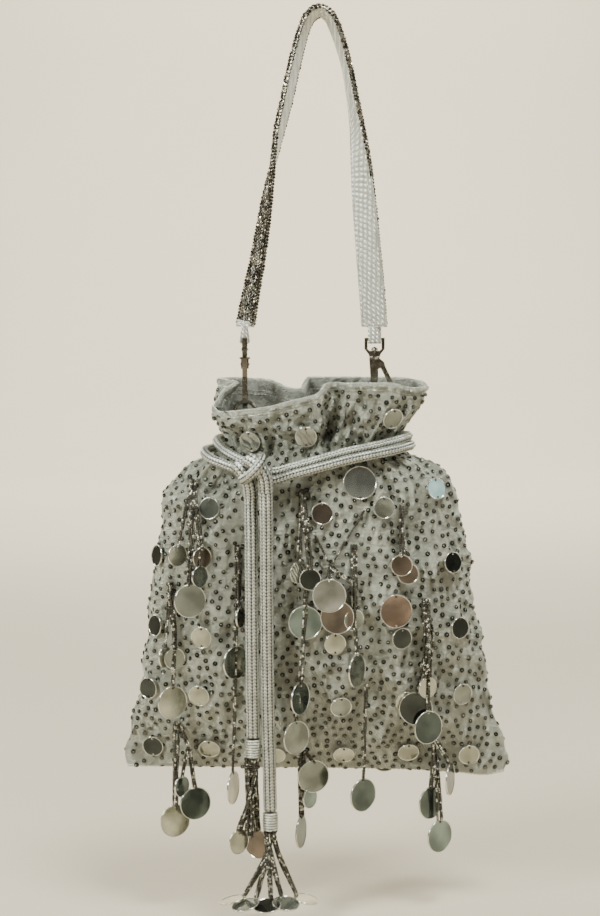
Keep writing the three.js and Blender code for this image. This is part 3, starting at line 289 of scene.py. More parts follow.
# The mirrors sewn flat, by tint
FLAT_MIRRORS = {
    "clear": ("collar_left", "collar_middle"),
    "grey": ("collar_right", "side_right_low", "low_middle", "shoulder_left"),
    "lilac": ("neck_large",),
    # shoulder_right's bright tint is a painted reflection, a cyan glint.
    "bright": ("shoulder_right",),
    "brown": ("centre_brown",),
    "pale": (
        "centre_pale", "under_swag", "left_upper", "left_lower", "clear_low", "hem_left_2",
        "hem_left_3", "hem_middle", "hem_right_1", "hem_right_2", "behind_hem",
    ),
    "copper": ("copper_large",),
    "dark": (
        "side_right_high", "dark_middle", "side_right_middle", "side_left_high",
        "side_left_middle", "side_left_low", "hem_left_1",
    ),
}

# Each run of a string: top and foot as (across, up), the bundle's thickness, the size, turn in
# degrees and tint of the mirror under its foot
STRINGS = {
    "left_shoulder": (
        ((-0.625, 0.905), (-0.635, 0.59), 5, LARGE, 25, "grey"),
        ((-0.625, 0.905), (-0.7, 0.705), 3, SMALL, 35, "pale"),
        ((-0.625, 0.905), (-0.575, 0.7), 4, SMALL, 35, "brown"),
        ((-0.625, 0.905), (-0.585, 0.645), 3, SMALL, 45, "grey"),
    ),
    "left_low": (
        ((-0.74, 0.59), (-0.72, 0.385), 4.5, SMALL, 20, "grey"),
        ((-0.74, 0.59), (-0.77, 0.39), 3, SMALL, 60, "pale"),
        ((-0.72, 0.385), (-0.73, 0.27), 3, LARGE, 35, "pale"),
    ),
    "left_long": (
        ((-0.395, 0.715), (-0.395, 0.55), 5, 0, 0, ""),
        ((-0.395, 0.55), (-0.38, 0.525), 3, SMALL, 68, "dark"),
        ((-0.395, 0.55), (-0.405, 0.405), 4, LARGE, 45, "grey"),
        ((-0.405, 0.405), (-0.42, 0.02), 3, LARGE, 72, "pale"),
    ),
    "left_hem": (
        ((-0.715, 0.16), (-0.725, -0.11), 5, LARGE, 30, "pale"),
        ((-0.715, 0.16), (-0.655, 0.08), 4, 0, 0, ""),
        ((-0.655, 0.08), (-0.62, -0.055), 4, LARGE, 25, "smoke"),
        ((-0.655, 0.08), (-0.69, -0.02), 3, SMALL, 52, "smoke"),
    ),
    "middle": (
        ((-0.05, 0.6), (-0.055, 0.53), 4, LARGE, 0, "teal"),
        ((-0.055, 0.53), (-0.08, 0.3), 4, LARGE, 58, "smoke"),
        ((-0.08, 0.3), (-0.1, 0.18), 3, LARGE, 42, "grey"),
    ),
    "centre": (
        ((-0.07, 0.88), (-0.09, 0.665), 4, SMALL, 42, "clear"),
        ((-0.07, 0.88), (-0.03, 0.645), 5, SMALL, 0, "dark"),
    ),
    "swag": (
        ((-0.01, 0.755), (0.07, 0.655), 2.5, 0, 0, ""),
        ((0.25, 0.825), (0.07, 0.655), 2.5, 0, 0, ""),
        ((0.07, 0.655), (0.065, 0.615), 4, LARGE, 0, "lilac"),
        ((0.19, 0.72), (0.19, 0.52), 5, SMALL, 25, "grey"),
        ((0.07, 0.655), (0.19, 0.6), 4, 0, 0, ""),
        ((0.19, 0.6), (0.105, 0.548), 3, LARGE, 0, "umber"),
        ((0.19, 0.52), (0.205, 0.385), 3, LARGE, 60, "grey"),
    ),
    "right_long": (
        ((0.255, 0.29), (0.24, -0.01), 3, LARGE, 40, "smoke"),
    ),
    "right_shoulder": (
        ((0.43, 0.85), (0.43, 0.68), 4, SMALL, 0, "brown"),
        ((0.43, 0.77), (0.462, 0.655), 3, SMALL, 0, "brown"),
    ),
    "right_curl": (
        ((0.565, 0.55), (0.565, 0.305), 8, SMALL, 35, "pale"),
        ((0.565, 0.305), (0.57, 0.2), 4, LARGE, 32, "smoke"),
        ((0.565, 0.4), (0.507, 0.255), 4, LARGE, 0, "dark"),
    ),
    "right_hem": (
        ((0.61, 0.1), (0.595, -0.06), 4, LARGE, 42, "smoke"),
        ((0.61, 0.1), (0.643, -0.165), 5, LARGE, 40, "teal"),
        ((0.61, 0.1), (0.695, 0.015), 4, LARGE, 72, "smoke"),
    ),
    "middle_hem": (
        ((-0.075, 0.08), (-0.076, -0.145), 5, LARGE, 72, "smoke"),
        ((-0.075, 0.08), (-0.03, -0.055), 3, SMALL, 50, "teal"),
        ((-0.075, 0.08), (-0.012, 0.03), 3, LARGE, 20, "grey"),
    ),
}

TASSEL_THICKNESS = {"left": 5.6 * MM, "right": 4.2 * MM}

# Wrinkles of the cloth: the drum they are laid on, then the length and seed of each kind
WRINKLE_DRUM = 75 * MM
BROAD_WRINKLES = (62 * MM, 3)
SMALL_WRINKLES = (19 * MM, 8)
FINE_WRINKLES = (8.5 * MM, 21)

# The floor's half width and near edge, and the backdrop's place, height and bend from the floor
FLOOR_REACH, FLOOR_FRONT = 4.0, -3.0
BACKDROP, BACKDROP_HEIGHT, BACKDROP_BEND = 3.4, 4, 0.9

# Lights: name, place, size, power and how far back they aim
LIGHTS = (
    ("key", (-0.95, -0.75, 0.35), 0.35, 17, 0),
    ("fill", (0.95, -0.8, -0.1), 0.8, 2.5, 0),
    ("top", (0.25, -0.35, 0.75), 0.35, 13, 0),
    ("back_left", (-0.8, 0.35, 0.1), 0.35, 4, 0),
    ("back_right", (0.7, 0.4, 0.15), 0.35, 4, 0),
    ("backdrop", (0.0, 1.9, 1.3), 1.6, 105, BACKDROP),
)
LIGHT_COLOUR = (0.96, 1, 0.93)
LIGHT_AIM_HEIGHT = -300 * MM

# The room that the mirrors reflect, from straight below to straight above, and its strength
ROOM_TONES = (
    (0.0, (0.1, 0.09, 0.075)), (0.42, (0.3, 0.27, 0.23)),
    (0.6, (0.62, 0.58, 0.52)), (1.0, (0.95, 0.93, 0.9)),
)
ROOM_STRENGTH = 0.36

METAL_NODES = [f"{part}_{side}" for part in ("bail", "hook", "gate", "ring") for side in ("left", "right")]


# Settings


def length(name, description, default):
    return FloatProperty(
        name=name, description=description, default=default, min=0, unit="LENGTH", precision=5,
    )


def colour(name, description, default):
    return FloatVectorProperty(
        name=name, description=description, default=default, min=0, max=1, subtype="COLOR",
    )


class PouchSettings(bpy.types.PropertyGroup):
    columns: IntProperty(name="Columns", description="Points round the cloth", default=336, min=64)
    row_height: length("Row height", "Height between two rows of points", 1.55 * MM)
    wrinkle: length("Wrinkle depth", "Depth of the broad wrinkles", 2.1 * MM)
    pucker: length("Pucker depth", "Depth of the small puckers between sequins", 0.95 * MM)
    hem_band: length("Hem band", "Width of the turned hem at the rim", 3.0 * MM)
    stitch: length("Stitch", "Distance from one stitch to the next", 2.2 * MM)
    cloth: colour("Cloth", "Colour of the silver cloth", (0.5, 0.51, 0.43))
    lining: colour("Lining", "Colour of the lining", (0.36, 0.36, 0.31))


class SequinSettings(bpy.types.PropertyGroup):
    cup: length("Cup sequin", "Width of a cup sequin", 3.1 * MM)
    spacing: length("Spacing", "Least distance between two cup sequins", 4.5 * MM)
    rim: length("Mirror rim", "Width of a round mirror's bright rim", 0.5 * MM)
    dark: colour("Cup", "Colour of the cup sequins", (0.055, 0.055, 0.047))
    bead: colour("Cup bead", "Colour of the bead in each cup", (0.38, 0.38, 0.33))


class BeadSettings(bpy.types.PropertyGroup):
    size: length("Bead", "Width of a bead in the strings", 1.75 * MM)
    dark: colour("Dark beads", "Colour of the dark beads", (0.075, 0.07, 0.055))
    pale: colour("Pale beads", "Colour of the pale beads", (0.52, 0.5, 0.42))
    pale_share: FloatProperty(
        name="Pale share", description="Share of the beads that are pale", default=0.27, min=0, max=1,
    )
    tassel: length("Tassel bead", "Width of a bead in the tassels", 1.5 * MM)


class CordSettings(bpy.types.PropertyGroup):
    wales: IntProperty(
        name="Wales", description="Columns of V-shaped plaits round the cord", default=8, min=4,
    )
    pitch: length("Pitch", "Length of one plait", 2.0 * MM)
    depth: length("Depth", "Depth between the plaits", 0.75 * MM)
    silver: colour("Silver", "Colour of the metallic yarn", (0.68, 0.69, 0.62))


class StrapSettings(bpy.types.PropertyGroup):
    rows: IntProperty(name="Stone rows", description="Rows of stones across the strap", default=7, min=1)
    stone: length("Stone", "Distance from one stone to the next", 2.1 * MM)
    crust_end: length("Crust end", "How far down the right leg the stones wrap its edges", 95 * MM)
    piping: length("Piping", "Radius of the silver piping", 0.95 * MM)
    ribbon: colour("Ribbon", "Colour of the woven ribbon", (0.74, 0.74, 0.67))
    stones: colour("Stones", "Colour of the stones", (0.1, 0.088, 0.068))


class MetalSettings(bpy.types.PropertyGroup):
    gunmetal: colour("Gunmetal", "Colour of the plated hooks and rings", (0.33, 0.3, 0.25))


class StageSettings(bpy.types.PropertyGroup):
    distance: length("Camera distance", "From the camera to the point it looks at", 1300 * MM)
    look_at: FloatVectorProperty(
        name="Look at", description="Point in the middle of the picture",
        default=(-11.5 * MM, 0, -262.8 * MM), unit="LENGTH", precision=4,
    )
    pitch: FloatProperty(
        name="Pitch", description="How far the camera looks down", default=math.radians(6), unit="ROTATION",
    )
    lens: FloatProperty(name="Lens", description="Focal length in millimetres", default=85.05, min=10)
    floor_gap: length("Floor gap", "From the lowest tassel to the floor", 12 * MM)
    floor: colour("Floor", "Colour of the floor and backdrop", (0.74, 0.64, 0.5))


# Curves and tables


def smooth(share):
    t = np.clip(share, 0, 1)
    return t * t * (3 - 2 * t)


def unit(vectors):
    vectors = np.asarray(vectors, float)
    return vectors / np.maximum(np.linalg.norm(vectors, axis=-1, keepdims=True), 1e-12)


def between_rows(keys, values, at):
    """Values between a table's rows, on a smooth curve that never overshoots them."""
    spans = np.diff(keys)[:, None]
    slopes = np.diff(values, axis=0) / spans
    product = slopes[:-1] * slopes[1:]
    total = slopes[:-1] + slopes[1:]
    tangents = np.zeros_like(values)
    tangents[1:-1] = np.where(product > 0, 2 * product / np.where(total == 0, 1, total), 0)
    tangents[0], tangents[-1] = slopes[0], slopes[-1]
    low = np.clip(np.searchsorted(keys, at, side="right") - 1, 0, len(keys) - 2)
    span = spans[low]
    t = (np.asarray(at)[:, None] - keys[low][:, None]) / span
    rise = t * t * (3 - 2 * t)
    start = t * (1 - t) ** 2 * span
    end = t * t * (t - 1) * span
    return (
        values[low] * (1 - rise) + values[low + 1] * rise
        + tangents[low] * start + tangents[low + 1] * end
    )


def curve_through(points, per_span=16):
    """Points on a smooth curve through the given ones, the same curve that the solids follow."""
    points = np.asarray(points, float)
    ends = np.vstack([2 * points[0] - points[1], points, 2 * points[-1] - points[-2]])
    t = np.linspace(0, 1, per_span, endpoint=False)[:, None]
    gaps = [max(math.sqrt(np.linalg.norm(q - p)), 1e-6) for p, q in zip(ends[:-1], ends[1:])]
    made = []
    spans = zip(ends, ends[1:], ends[2:], ends[3:], gaps, gaps[1:], gaps[2:])
    for a, b, c, d, first, middle, last in spans:
        leave = ((b - a) / first - (c - a) / (first + middle)) * middle + (c - b)
        arrive = (c - b) + ((d - c) / last - (d - b) / (middle + last)) * middle
        squared = -3 * b + 3 * c - 2 * leave - arrive
        cubed = 2 * b - 2 * c + leave + arrive
        made.append(b + leave * t + squared * t**2 + cubed * t**3)
    return np.vstack([*made, points[-1:]])


def travel_along(path):
    return np.concatenate([[0], np.cumsum(np.linalg.norm(np.diff(path[:, :3], axis=0), axis=1))])


def evenly(path, step):
    """The path in equal steps. Columns after the first three are carried along."""
    travel = travel_along(path)
    stops = np.linspace(0, travel[-1], max(2, round(travel[-1] / step) + 1))
    return np.stack([np.interp(stops, travel, column) for column in path.T], axis=1)


def frames_along(path):
    """Directions along a path and two across it, which don't twist."""
    forward = unit(np.gradient(path, axis=0))
    start = np.cross(forward[0], (0, 1, 0) if abs(forward[0][1]) < 0.9 else (1, 0, 0))
    sides = [unit(start)]
    for direction in forward[1:]:
        sides.append(unit(sides[-1] - direction * np.dot(sides[-1], direction)))
    sides = np.array(sides)
    return forward, sides, np.cross(forward, sides)


def waves(points, length_of_one, seed, count=14):
    """Smooth seeded noise, mostly from -1 to 1, with waves of about that length."""
    rng = np.random.default_rng(seed)
    directions = unit(rng.normal(size=(count, 3)))
    lengths = length_of_one * rng.uniform(0.7, 1.5, count)
    phases = rng.uniform(0, 2 * math.pi, count)
    turns = points @ (2 * math.pi * directions / lengths[:, None]).T + phases
    return np.cos(turns).sum(axis=-1) / (1.2 * math.sqrt(count))


# Meshes


def grid_faces(rows, columns, closed=True):
    last = columns if closed else columns - 1
    row, column = np.meshgrid(np.arange(rows - 1), np.arange(last), indexing="ij")
    low = row * columns + column
    after = row * columns + (column + 1) % columns
    return np.stack([low, after, after + columns, low + columns], axis=-1).reshape(-1, 4)


def joined(parts):
    """Several (points, faces) pairs as one."""
    points, faces, offset = [], [], 0
    for part_points, part_faces in parts:
        points.append(part_points)
        faces.extend([index + offset for index in face] for face in part_faces)
        offset += len(part_points)
    return np.concatenate(points), faces


def lathe(profile, sides):
    """A closed turned form. The profile runs from one pole to the other as (radius, height)."""
    profile = np.asarray(profile, float)
    angle = np.linspace(0, 2 * math.pi, sides, endpoint=False)
    rings = profile[1:-1]
    x = rings[:, :1] * np.cos(angle)
    y = rings[:, :1] * np.sin(angle)
    z = np.repeat(rings[:, 1:], sides, axis=1)
    points = np.stack([x, y, z], axis=-1).reshape(-1, 3)
    points = np.vstack([points, (0, 0, profile[0, 1]), (0, 0, profile[-1, 1])])
    faces = grid_faces(len(rings), sides).tolist()
    bottom, top = len(points) - 2, len(points) - 1
    high = (len(rings) - 1) * sides
    for side in range(sides):
        after = (side + 1) % sides
        faces.append([after, side, bottom])
        faces.append([high + side, high + after, top])
    return points, faces


def tube(path, radius, sides):
    """A bar with closed ends along a path. radius is a table of points by sides."""
    _, side, up = frames_along(path)
    angle = np.linspace(0, 2 * math.pi, sides, endpoint=False)
    ring = np.cos(angle)[None, :, None] * side[:, None] + np.sin(angle)[None, :, None] * up[:, None]
    points = (path[:, None] + radius[..., None] * ring).reshape(-1, 3)
    points = np.vstack([points, path[0], path[-1]])
    faces = grid_faces(len(path), sides).tolist()
    last = (len(path) - 1) * sides
    for index in range(sides):
        after = (index + 1) % sides
        faces.append([after, index, len(points) - 2])
        faces.append([last + index, last + after, len(points) - 1])
    return points, faces


def twisted(path, radius, depth, pitch, sides):
    """A twisted thread along a path. It stands out by depth, and turns once a pitch."""
    spin = travel_along(path)[:, None] * 2 * math.pi / pitch
    spin = spin + np.linspace(0, 2 * math.pi, sides, endpoint=False)
    return tube(path, radius + depth * np.cos(spin), sides)


def loft(rings):
    """A closed form through rings of points, with flat ends."""
    count, sides = rings.shape[:2]
    faces = grid_faces(count, sides).tolist()
    faces += [list(range(sides))[::-1], list(range((count - 1) * sides, count * sides))]
    return rings.reshape(-1, 3), faces


def standing(normals, spins=0.0, upright=(0, 0, 1)):
    """Axes of forms that stand on a surface: their own Z along the normals, then spun."""
    normals = unit(normals)
    side = np.cross(np.asarray(upright, float), normals)
    flat = np.linalg.norm(side, axis=-1) < 1e-4
    side[flat] = (1, 0, 0)
    side = unit(side)
    up = np.cross(normals, side)
    cos, sin = np.cos(spins), np.sin(spins)
    cos, sin = (np.broadcast_to(value, len(normals))[:, None] for value in (cos, sin))
    return np.stack([side * cos + up * sin, up * cos - side * sin, normals], axis=-1)


def scatter(form, places, axes, sizes):
    """Copies of a form at the places. sizes is one number or one a place."""
    points, faces = form
    scale = np.broadcast_to(sizes, len(places))[:, None, None]
    placed = places[:, None] + np.einsum("nij,nkj->nki", axes, points[None] * scale)
    made = []
    for corners in (3, 4):
        same = np.array([face for face in faces if len(face) == corners])
        if len(same):
            offsets = np.arange(len(places))[:, None, None] * len(points)
            made.extend((same[None] + offsets).reshape(-1, corners).tolist())
    return placed.reshape(-1, 3), made


def new_piece(name, points, faces, materials, slot, nodes=(), zones=None):
    """A shown piece that rides on the reticule and stands for the nodes."""
    mesh = bpy.data.meshes.new(name)
    mesh.from_pydata(points.tolist(), [], faces)
    for material in materials:
        mesh.materials.append(material)
    if zones is not None:
        mesh.polygons.foreach_set("material_index", zones)
    mesh.update()
    mesh.shade_smooth()
    piece = bpy.data.objects.new(name, mesh)
    bpy.context.collection.objects.link(piece)
    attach(piece, BODY)
    if nodes:
        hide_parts(*nodes)
    return piece


def points_of(piece):
    found = np.empty(len(piece.data.vertices) * 3)
    piece.data.vertices.foreach_get("co", found)
    return found.reshape(-1, 3)


def tree_of(pieces):
    """What rays can hit: the faces of the pieces, in place."""
    points, faces = joined([
        (points_of(piece), [list(face.vertices) for face in piece.data.polygons]) for piece in pieces
    ])
    return BVHTree.FromPolygons(points.tolist(), faces)


def nodes_named(prefix):
    return [frame["nodes"][name] for name in sorted(frame["nodes"]) if name.startswith(prefix)]


# Materials


class Finish:
    """A new material and the nodes that feed its shader."""

    def __init__(self, name, **sockets):
        self.material = bpy.data.materials.new(name)
        self.material.use_nodes = True
        self.tree = self.material.node_tree
        self.shader = self.tree.nodes["Principled BSDF"]
        for socket, value in sockets.items():
            self.shader.inputs[socket.replace("_", " ")].default_value = value
        self.place = self.tree.nodes.new("ShaderNodeTexCoord").outputs["Object"]

    def node(self, kind, output, inputs=None, **settings):
        made = self.tree.nodes.new(kind)
        for setting, value in settings.items():
            setattr(made, setting, value)
        for socket, value in (inputs or {}).items():
            if isinstance(value, bpy.types.NodeSocket):
                self.tree.links.new(value, made.inputs[socket])
            else:
                made.inputs[socket].default_value = value
        return made.outputs[output]

    def noise(self, size, detail=3.0, roughness=0.55):
        return self.node(
            "ShaderNodeTexNoise", "Fac",
            {"Vector": self.place, "Scale": 1 / size, "Detail": detail, "Roughness": roughness},
        )

    def cells(self, size):
        return self.node("ShaderNodeTexVoronoi", "Distance", {"Vector": self.place, "Scale": 1 / size})

    def bands(self, size, direction, distortion=0.0):
        return self.node(
            "ShaderNodeTexWave", "Fac",
            {"Vector": self.place, "Scale": 0.314 / size, "Distortion": distortion, "Detail": 1.0},
            bands_direction=direction,
        )

    def between(self, factor, low, high):
        """A colour between two, by a factor. Each may also be the output of a node."""
        ends = {"Factor": factor, 6: opaque(low), 7: opaque(high)}
        return self.node("ShaderNodeMix", 2, ends, data_type="RGBA")

    def ramp(self, factor, low, high, to_low=0.0, to_high=1.0):
        ends = {"Value": factor, "From Min": low, "From Max": high, "To Min": to_low, "To Max": to_high}
        return self.node("ShaderNodeMapRange", 0, ends)

    def math(self, operation, first, second):
        return self.node("ShaderNodeMath", 0, {0: first, 1: second}, operation=operation)

    def feed(self, socket, output):
        self.tree.links.new(output, self.shader.inputs[socket])

    def bump(self, height, depth, strength):
        inputs = {"Height": height, "Distance": depth, "Strength": strength}
        self.feed("Normal", self.node("ShaderNodeBump", 0, inputs))

    def island(self):
        """A number that is the same over each loose part, and different on the next."""
        return self.node("ShaderNodeNewGeometry", "Random Per Island")


def opaque(tone):
    """A colour with its alpha. The output of a node stays as it is."""
    return tone if isinstance(tone, bpy.types.NodeSocket) else (*tone, 1)


def shade(base, factor):
    return tuple(min(1.0, channel * factor) for channel in base)


def silver_cloth(name, base, shine):
    finish = Finish(name, Metallic=shine, Roughness=0.4, Sheen_Weight=0.08, Sheen_Roughness=0.4)
    slub = finish.ramp(finish.noise(13 * MM, 6, 0.7), 0.34, 0.66)
    finish.feed("Base Color", finish.between(slub, shade(base, 0.8), shade(base, 1.2)))
    finish.feed("Roughness", finish.ramp(finish.noise(3 * MM), 0.3, 0.7, 0.3, 0.5))
    weave = finish.math("ADD", finish.bands(0.7 * MM, "DIAGONAL", 1.0), finish.bands(0.8 * MM, "Z", 1.2))
    creases = finish.math("ABSOLUTE", finish.math("SUBTRACT", finish.noise(11 * MM, 3, 0.6), 0.5), 0.0)
    folds = finish.math("MULTIPLY", creases, 22.0)
    crumple = finish.math("ADD", folds, finish.math("MULTIPLY", finish.noise(4 * MM, 4, 0.6), 5.0))
    pulled = finish.math("MULTIPLY", finish.cells(7.5 * MM), 6.0)
    finish.bump(finish.math("ADD", finish.math("ADD", weave, crumple), pulled), 0.42 * MM, 1.0)
    return finish.material


def dark_cup(base):
    finish = Finish("cup_sequin", Metallic=0.85, Roughness=0.2, Specular_IOR_Level=0.6)
    finish.feed("Base Color", finish.between(finish.island(), shade(base, 0.5), shade(base, 2.2)))
    finish.feed("Roughness", finish.ramp(finish.noise(1.2 * MM), 0.3, 0.7, 0.12, 0.34))
    finish.bump(finish.noise(0.6 * MM), 0.05 * MM, 0.5)
    return finish.material


def glint(name, dark, pale, share):
    """Beads of two colours mixed at random, with the share of pale ones."""
    finish = Finish(name, Metallic=0.85, Roughness=0.15)
    picked = finish.ramp(finish.island(), 1 - share - 0.03, 1 - share + 0.03)
    worn = finish.between(finish.noise(2 * MM), shade(dark, 0.6), shade(dark, 1.5))
    finish.feed("Base Color", finish.between(picked, worn, pale))
    finish.feed("Roughness", finish.ramp(finish.noise(1 * MM), 0.3, 0.7, 0.08, 0.3))
    finish.bump(finish.noise(0.5 * MM), 0.04 * MM, 0.5)
    return finish.material


def metal_yarn(base):
    finish = Finish("braided_silver", Metallic=0.8, Roughness=0.3, Sheen_Weight=0.05)
    worn = finish.ramp(finish.noise(6 * MM, 4), 0.3, 0.7)
    # Painted shade: the deeper a point lies in the plaits or whipped grooves, the nearer its colour goes to
    # a near-black copy of the yarn.
    sunk = finish.node("ShaderNodeAttribute", "Fac", attribute_name="sunk")
    lit = finish.between(worn, shade(base, 0.8), shade(base, 1.25))
    painted_groove_shade = finish.ramp(sunk, 0.3, 0.9)
    finish.feed("Base Color", finish.between(painted_groove_shade, lit, shade(base, 0.09)))
    finish.feed("Roughness", finish.ramp(finish.noise(1 * MM), 0.3, 0.7, 0.24, 0.44))
    finish.bump(finish.bands(0.32 * MM, "DIAGONAL", 2.5), 0.06 * MM, 0.7)
    return finish.material


def woven_ribbon(base):
    finish = Finish("woven_ribbon", Metallic=0.4, Roughness=0.42, Sheen_Weight=0.2)
    twill = finish.math(
        "MULTIPLY", finish.bands(1.4 * MM, "DIAGONAL", 1.2), finish.bands(2.6 * MM, "X", 1.5),
    )
    mottle = finish.math(
        "ADD", finish.math("MULTIPLY", twill, 0.75), finish.math("MULTIPLY", finish.noise(4 * MM, 4), 0.5),
    )
    mottle = finish.ramp(mottle, 0.15, 0.9)
    finish.feed("Base Color", finish.between(mottle, shade(base, 0.55), shade(base, 1.3)))
    finish.feed("Roughness", finish.ramp(finish.noise(2 * MM), 0.3, 0.7, 0.3, 0.46))
    finish.bump(twill, 0.55 * MM, 1.0)
    return finish.material


def crystal(base):
    finish = Finish("strap_stones", Metallic=0.7, Roughness=0.08, Specular_IOR_Level=0.8)
    spread = finish.math("POWER", finish.island(), 2.6)
    finish.feed("Base Color", finish.between(spread, shade(base, 0.4), shade(base, 4.2)))
    finish.feed("Roughness", finish.ramp(finish.noise(2 * MM), 0.3, 0.7, 0.04, 0.22))
    finish.bump(finish.cells(0.7 * MM), 0.08 * MM, 0.6)
    return finish.material


def plated_metal(base):
    finish = Finish("gunmetal_plate", Metallic=1.0, Roughness=0.24)
    worn = finish.ramp(finish.noise(9 * MM, 3, 0.5), 0.35, 0.75)
    finish.feed("Base Color", finish.between(worn, shade(base, 0.85), shade(base, 1.45)))
    finish.feed("Roughness", finish.ramp(finish.noise(2.5 * MM, 2), 0.3, 0.7, 0.2, 0.3))
    finish.bump(finish.noise(1.2 * MM, 2), 0.02 * MM, 0.3)
    return finish.material


# The bright tint is a painted reflection: a pale cyan on a weakly metallic film, a glint of sky that shows
# whatever the mirror faces.
TINTS = {
    "pale": (0.43, 0.43, 0.335), "grey": (0.24, 0.26, 0.22), "dark": (0.045, 0.052, 0.044),
    "brown": (0.165, 0.13, 0.1), "copper": (0.235, 0.155, 0.1), "teal": (0.2, 0.25, 0.225),
    "lilac": (0.38, 0.39, 0.35), "bright": (0.62, 1.0, 1.0), "clear": (0.42, 0.43, 0.37),
    "smoke": (0.1, 0.125, 0.11), "umber": (0.175, 0.145, 0.115),
}


def mirror(tint):
    """Mirror-coated film of one tint, with soft streaks, and painted reflection: lighter and darker clouds
    over its colour stand for the surroundings it mirrors.
    """
    base = TINTS[tint]
    # The bright tint gets a weak film, so that its painted cyan glint shows.
    film = 0.35 if tint == "bright" else 0.78
    finish = Finish(f"mirror_{tint}", Metallic=film, Roughness=0.2, Coat_Weight=0.25, Coat_Roughness=0.06)
    # Painted reflection: noise clouds darken and lighten the tint.
    cloud = finish.ramp(finish.noise(14 * MM, 2, 0.4), 0.35, 0.65)
    finish.feed("Base Color", finish.between(cloud, shade(base, 0.6), shade(base, 1.3)))
    finish.feed("Roughness", finish.ramp(finish.noise(5 * MM), 0.3, 0.7, 0.08, 0.22))
    if tint == "clear":
        finish.bump(finish.bands(1.6 * MM, "DIAGONAL", 4.0), 0.35 * MM, 0.7)
    else:
        finish.bump(finish.noise(9 * MM, 1), 0.12 * MM, 0.5)
    return finish.material


def mirror_rim():
    finish = Finish("mirror_rim", Metallic=0.9, Roughness=0.18)
    finish.feed("Base Color", finish.between(finish.noise(3 * MM), (0.62, 0.6, 0.53), (0.88, 0.87, 0.8)))
    finish.bump(finish.noise(0.8 * MM), 0.04 * MM, 0.4)
    return finish.material


def found_or_made(name, make, *details):
    return bpy.data.materials.get(name) or make(*details)


def string_beads(scene):
    beads, name = scene.reticule_beads, "string_beads"
    return found_or_made(name, glint, name, tuple(beads.dark), tuple(beads.pale), beads.pale_share)


def silver_yarn(scene):
    return found_or_made("braided_silver", metal_yarn, scene.reticule_cord.silver)


def strap_ribbon(scene):
    return found_or_made("woven_ribbon", woven_ribbon, scene.reticule_strap.ribbon)


def all_mirrors():
    """The tints' names, and the finish of the rim with that of each tint."""
    tints = list(TINTS)
    rim = found_or_made("mirror_rim", mirror_rim)
    return tints, [rim, *(found_or_made(f"mirror_{tint}", mirror, tint) for tint in tints)]


# The cloth


def height_at(level):
    level = np.asarray(level, float)
    return np.where(level < 1, HEM_HEIGHT + level * BODY_HEIGHT, TIE_HEIGHT + (level - 1) * COLLAR_HEIGHT)


def section_sizes(height):
    """Left, right, front and back reach and squareness of the outline at a height."""
    levels = SECTIONS[:, 0]
    half = np.where(levels < 1, HEM_WIDTH, COLLAR_WIDTH) / 2
    deep = np.full(len(levels), BODY_DEPTH / 2)
    scale = np.stack([half, half, deep, deep, np.ones(len(levels))], axis=1)
    return between_rows(height_at(levels), SECTIONS[:, 1:] * scale, np.atleast_1d(height))


def plan_outline(sizes, count):
    """The plan outline, counter-clockwise from the right end, in equal steps a quarter."""
    left, right, front, back, square = sizes
    angle = np.linspace(0, math.pi / 2, 121)
    quarters = []
    for reach, depth, sign_x, sign_y, backward in (
        (right, back, 1, 1, False), (left, back, -1, 1, True),
        (left, front, -1, -1, False), (right, front, 1, -1, True),
    ):
        x = reach * np.clip(np.cos(angle), 0, 1) ** (2 / square)
        y = depth * np.clip(np.sin(angle), 0, 1) ** (2 / square)
        travel = np.concatenate([[0], np.cumsum(np.hypot(np.diff(x), np.diff(y)))])
        stops = np.linspace(0, travel[-1], count // 4 + 1)
        sides = ((sign_x, x), (sign_y, y))
        quarter = np.stack([sign * np.interp(stops, travel, line) for sign, line in sides], axis=1)
        quarters.append((quarter[::-1] if backward else quarter)[:-1])
    outline = np.concatenate(quarters)
    outline[:, 0] += POUCH_MIDDLE
    return outline


def outward_of(outline):
    step = np.roll(outline, -1, axis=0) - np.roll(outline, 1, axis=0)
    return unit(np.stack([step[:, 1], -step[:, 0]], axis=1))


def fold_depth(around, level):
    inward = np.zeros_like(around)
    for middle, before, after, start, full, depth in FOLDS:
        offset = (around - middle + 2) % 4 - 2
        near = smooth(1 - np.abs(offset) / np.where(offset < 0, before, after))
        inward += depth * near * smooth((level - start) / (full - start))
    for middle, width, bottom, top, share in DENTS:
        half = (bottom + top) / 2
        tall = smooth(1.6 * (1 - abs(level - half) / (top - half)))
        inward += FOLD_DEPTH * share * smooth(1 - np.abs(around - middle) / width) * tall
    return inward


def pleat_depth(around, height):
    """Outward move of the gathers, and inward of the finer pleats, near the tie."""
    rise = height - TIE_HEIGHT
    turn = around / 4 * 2 * math.pi
    moved = GATHER_DEPTH * smooth(1 - abs(rise) / GATHER_REACH) * np.cos(GATHER_COUNT * turn)
    for count, depth, down, up in PLEATS:
        near = smooth(1 - abs(rise) / (down if rise < 0 else up))
        wander = 0.9 * np.sin(2 * turn + count) + 0.5 * np.sin(5 * turn + rise / (14 * MM))
        moved = moved - depth * near * (0.5 + 0.5 * np.cos(count * turn + wander))
    return moved


def crease_depth(points):
    """Depth of the named creases at points of the front."""
    inward = np.zeros(points.shape[:-1])
    flat = points[..., [0, 2]]
    for start, end, depth, width in CREASES:
        a = np.array([POUCH_MIDDLE + start[0] * HEM_WIDTH / 2, height_at(start[1])])
        b = np.array([POUCH_MIDDLE + end[0] * HEM_WIDTH / 2, height_at(end[1])])
        along = np.clip(((flat - a) @ (b - a)) / np.dot(b - a, b - a), 0, 1)
        gap = np.linalg.norm(flat - a - along[..., None] * (b - a), axis=-1)
        inward += 1.5 * depth * np.exp(-((gap / width) ** 2)) * np.sin(math.pi * np.clip(along, 0.06, 0.94))
    return inward * (points[..., 1] < -4 * MM)


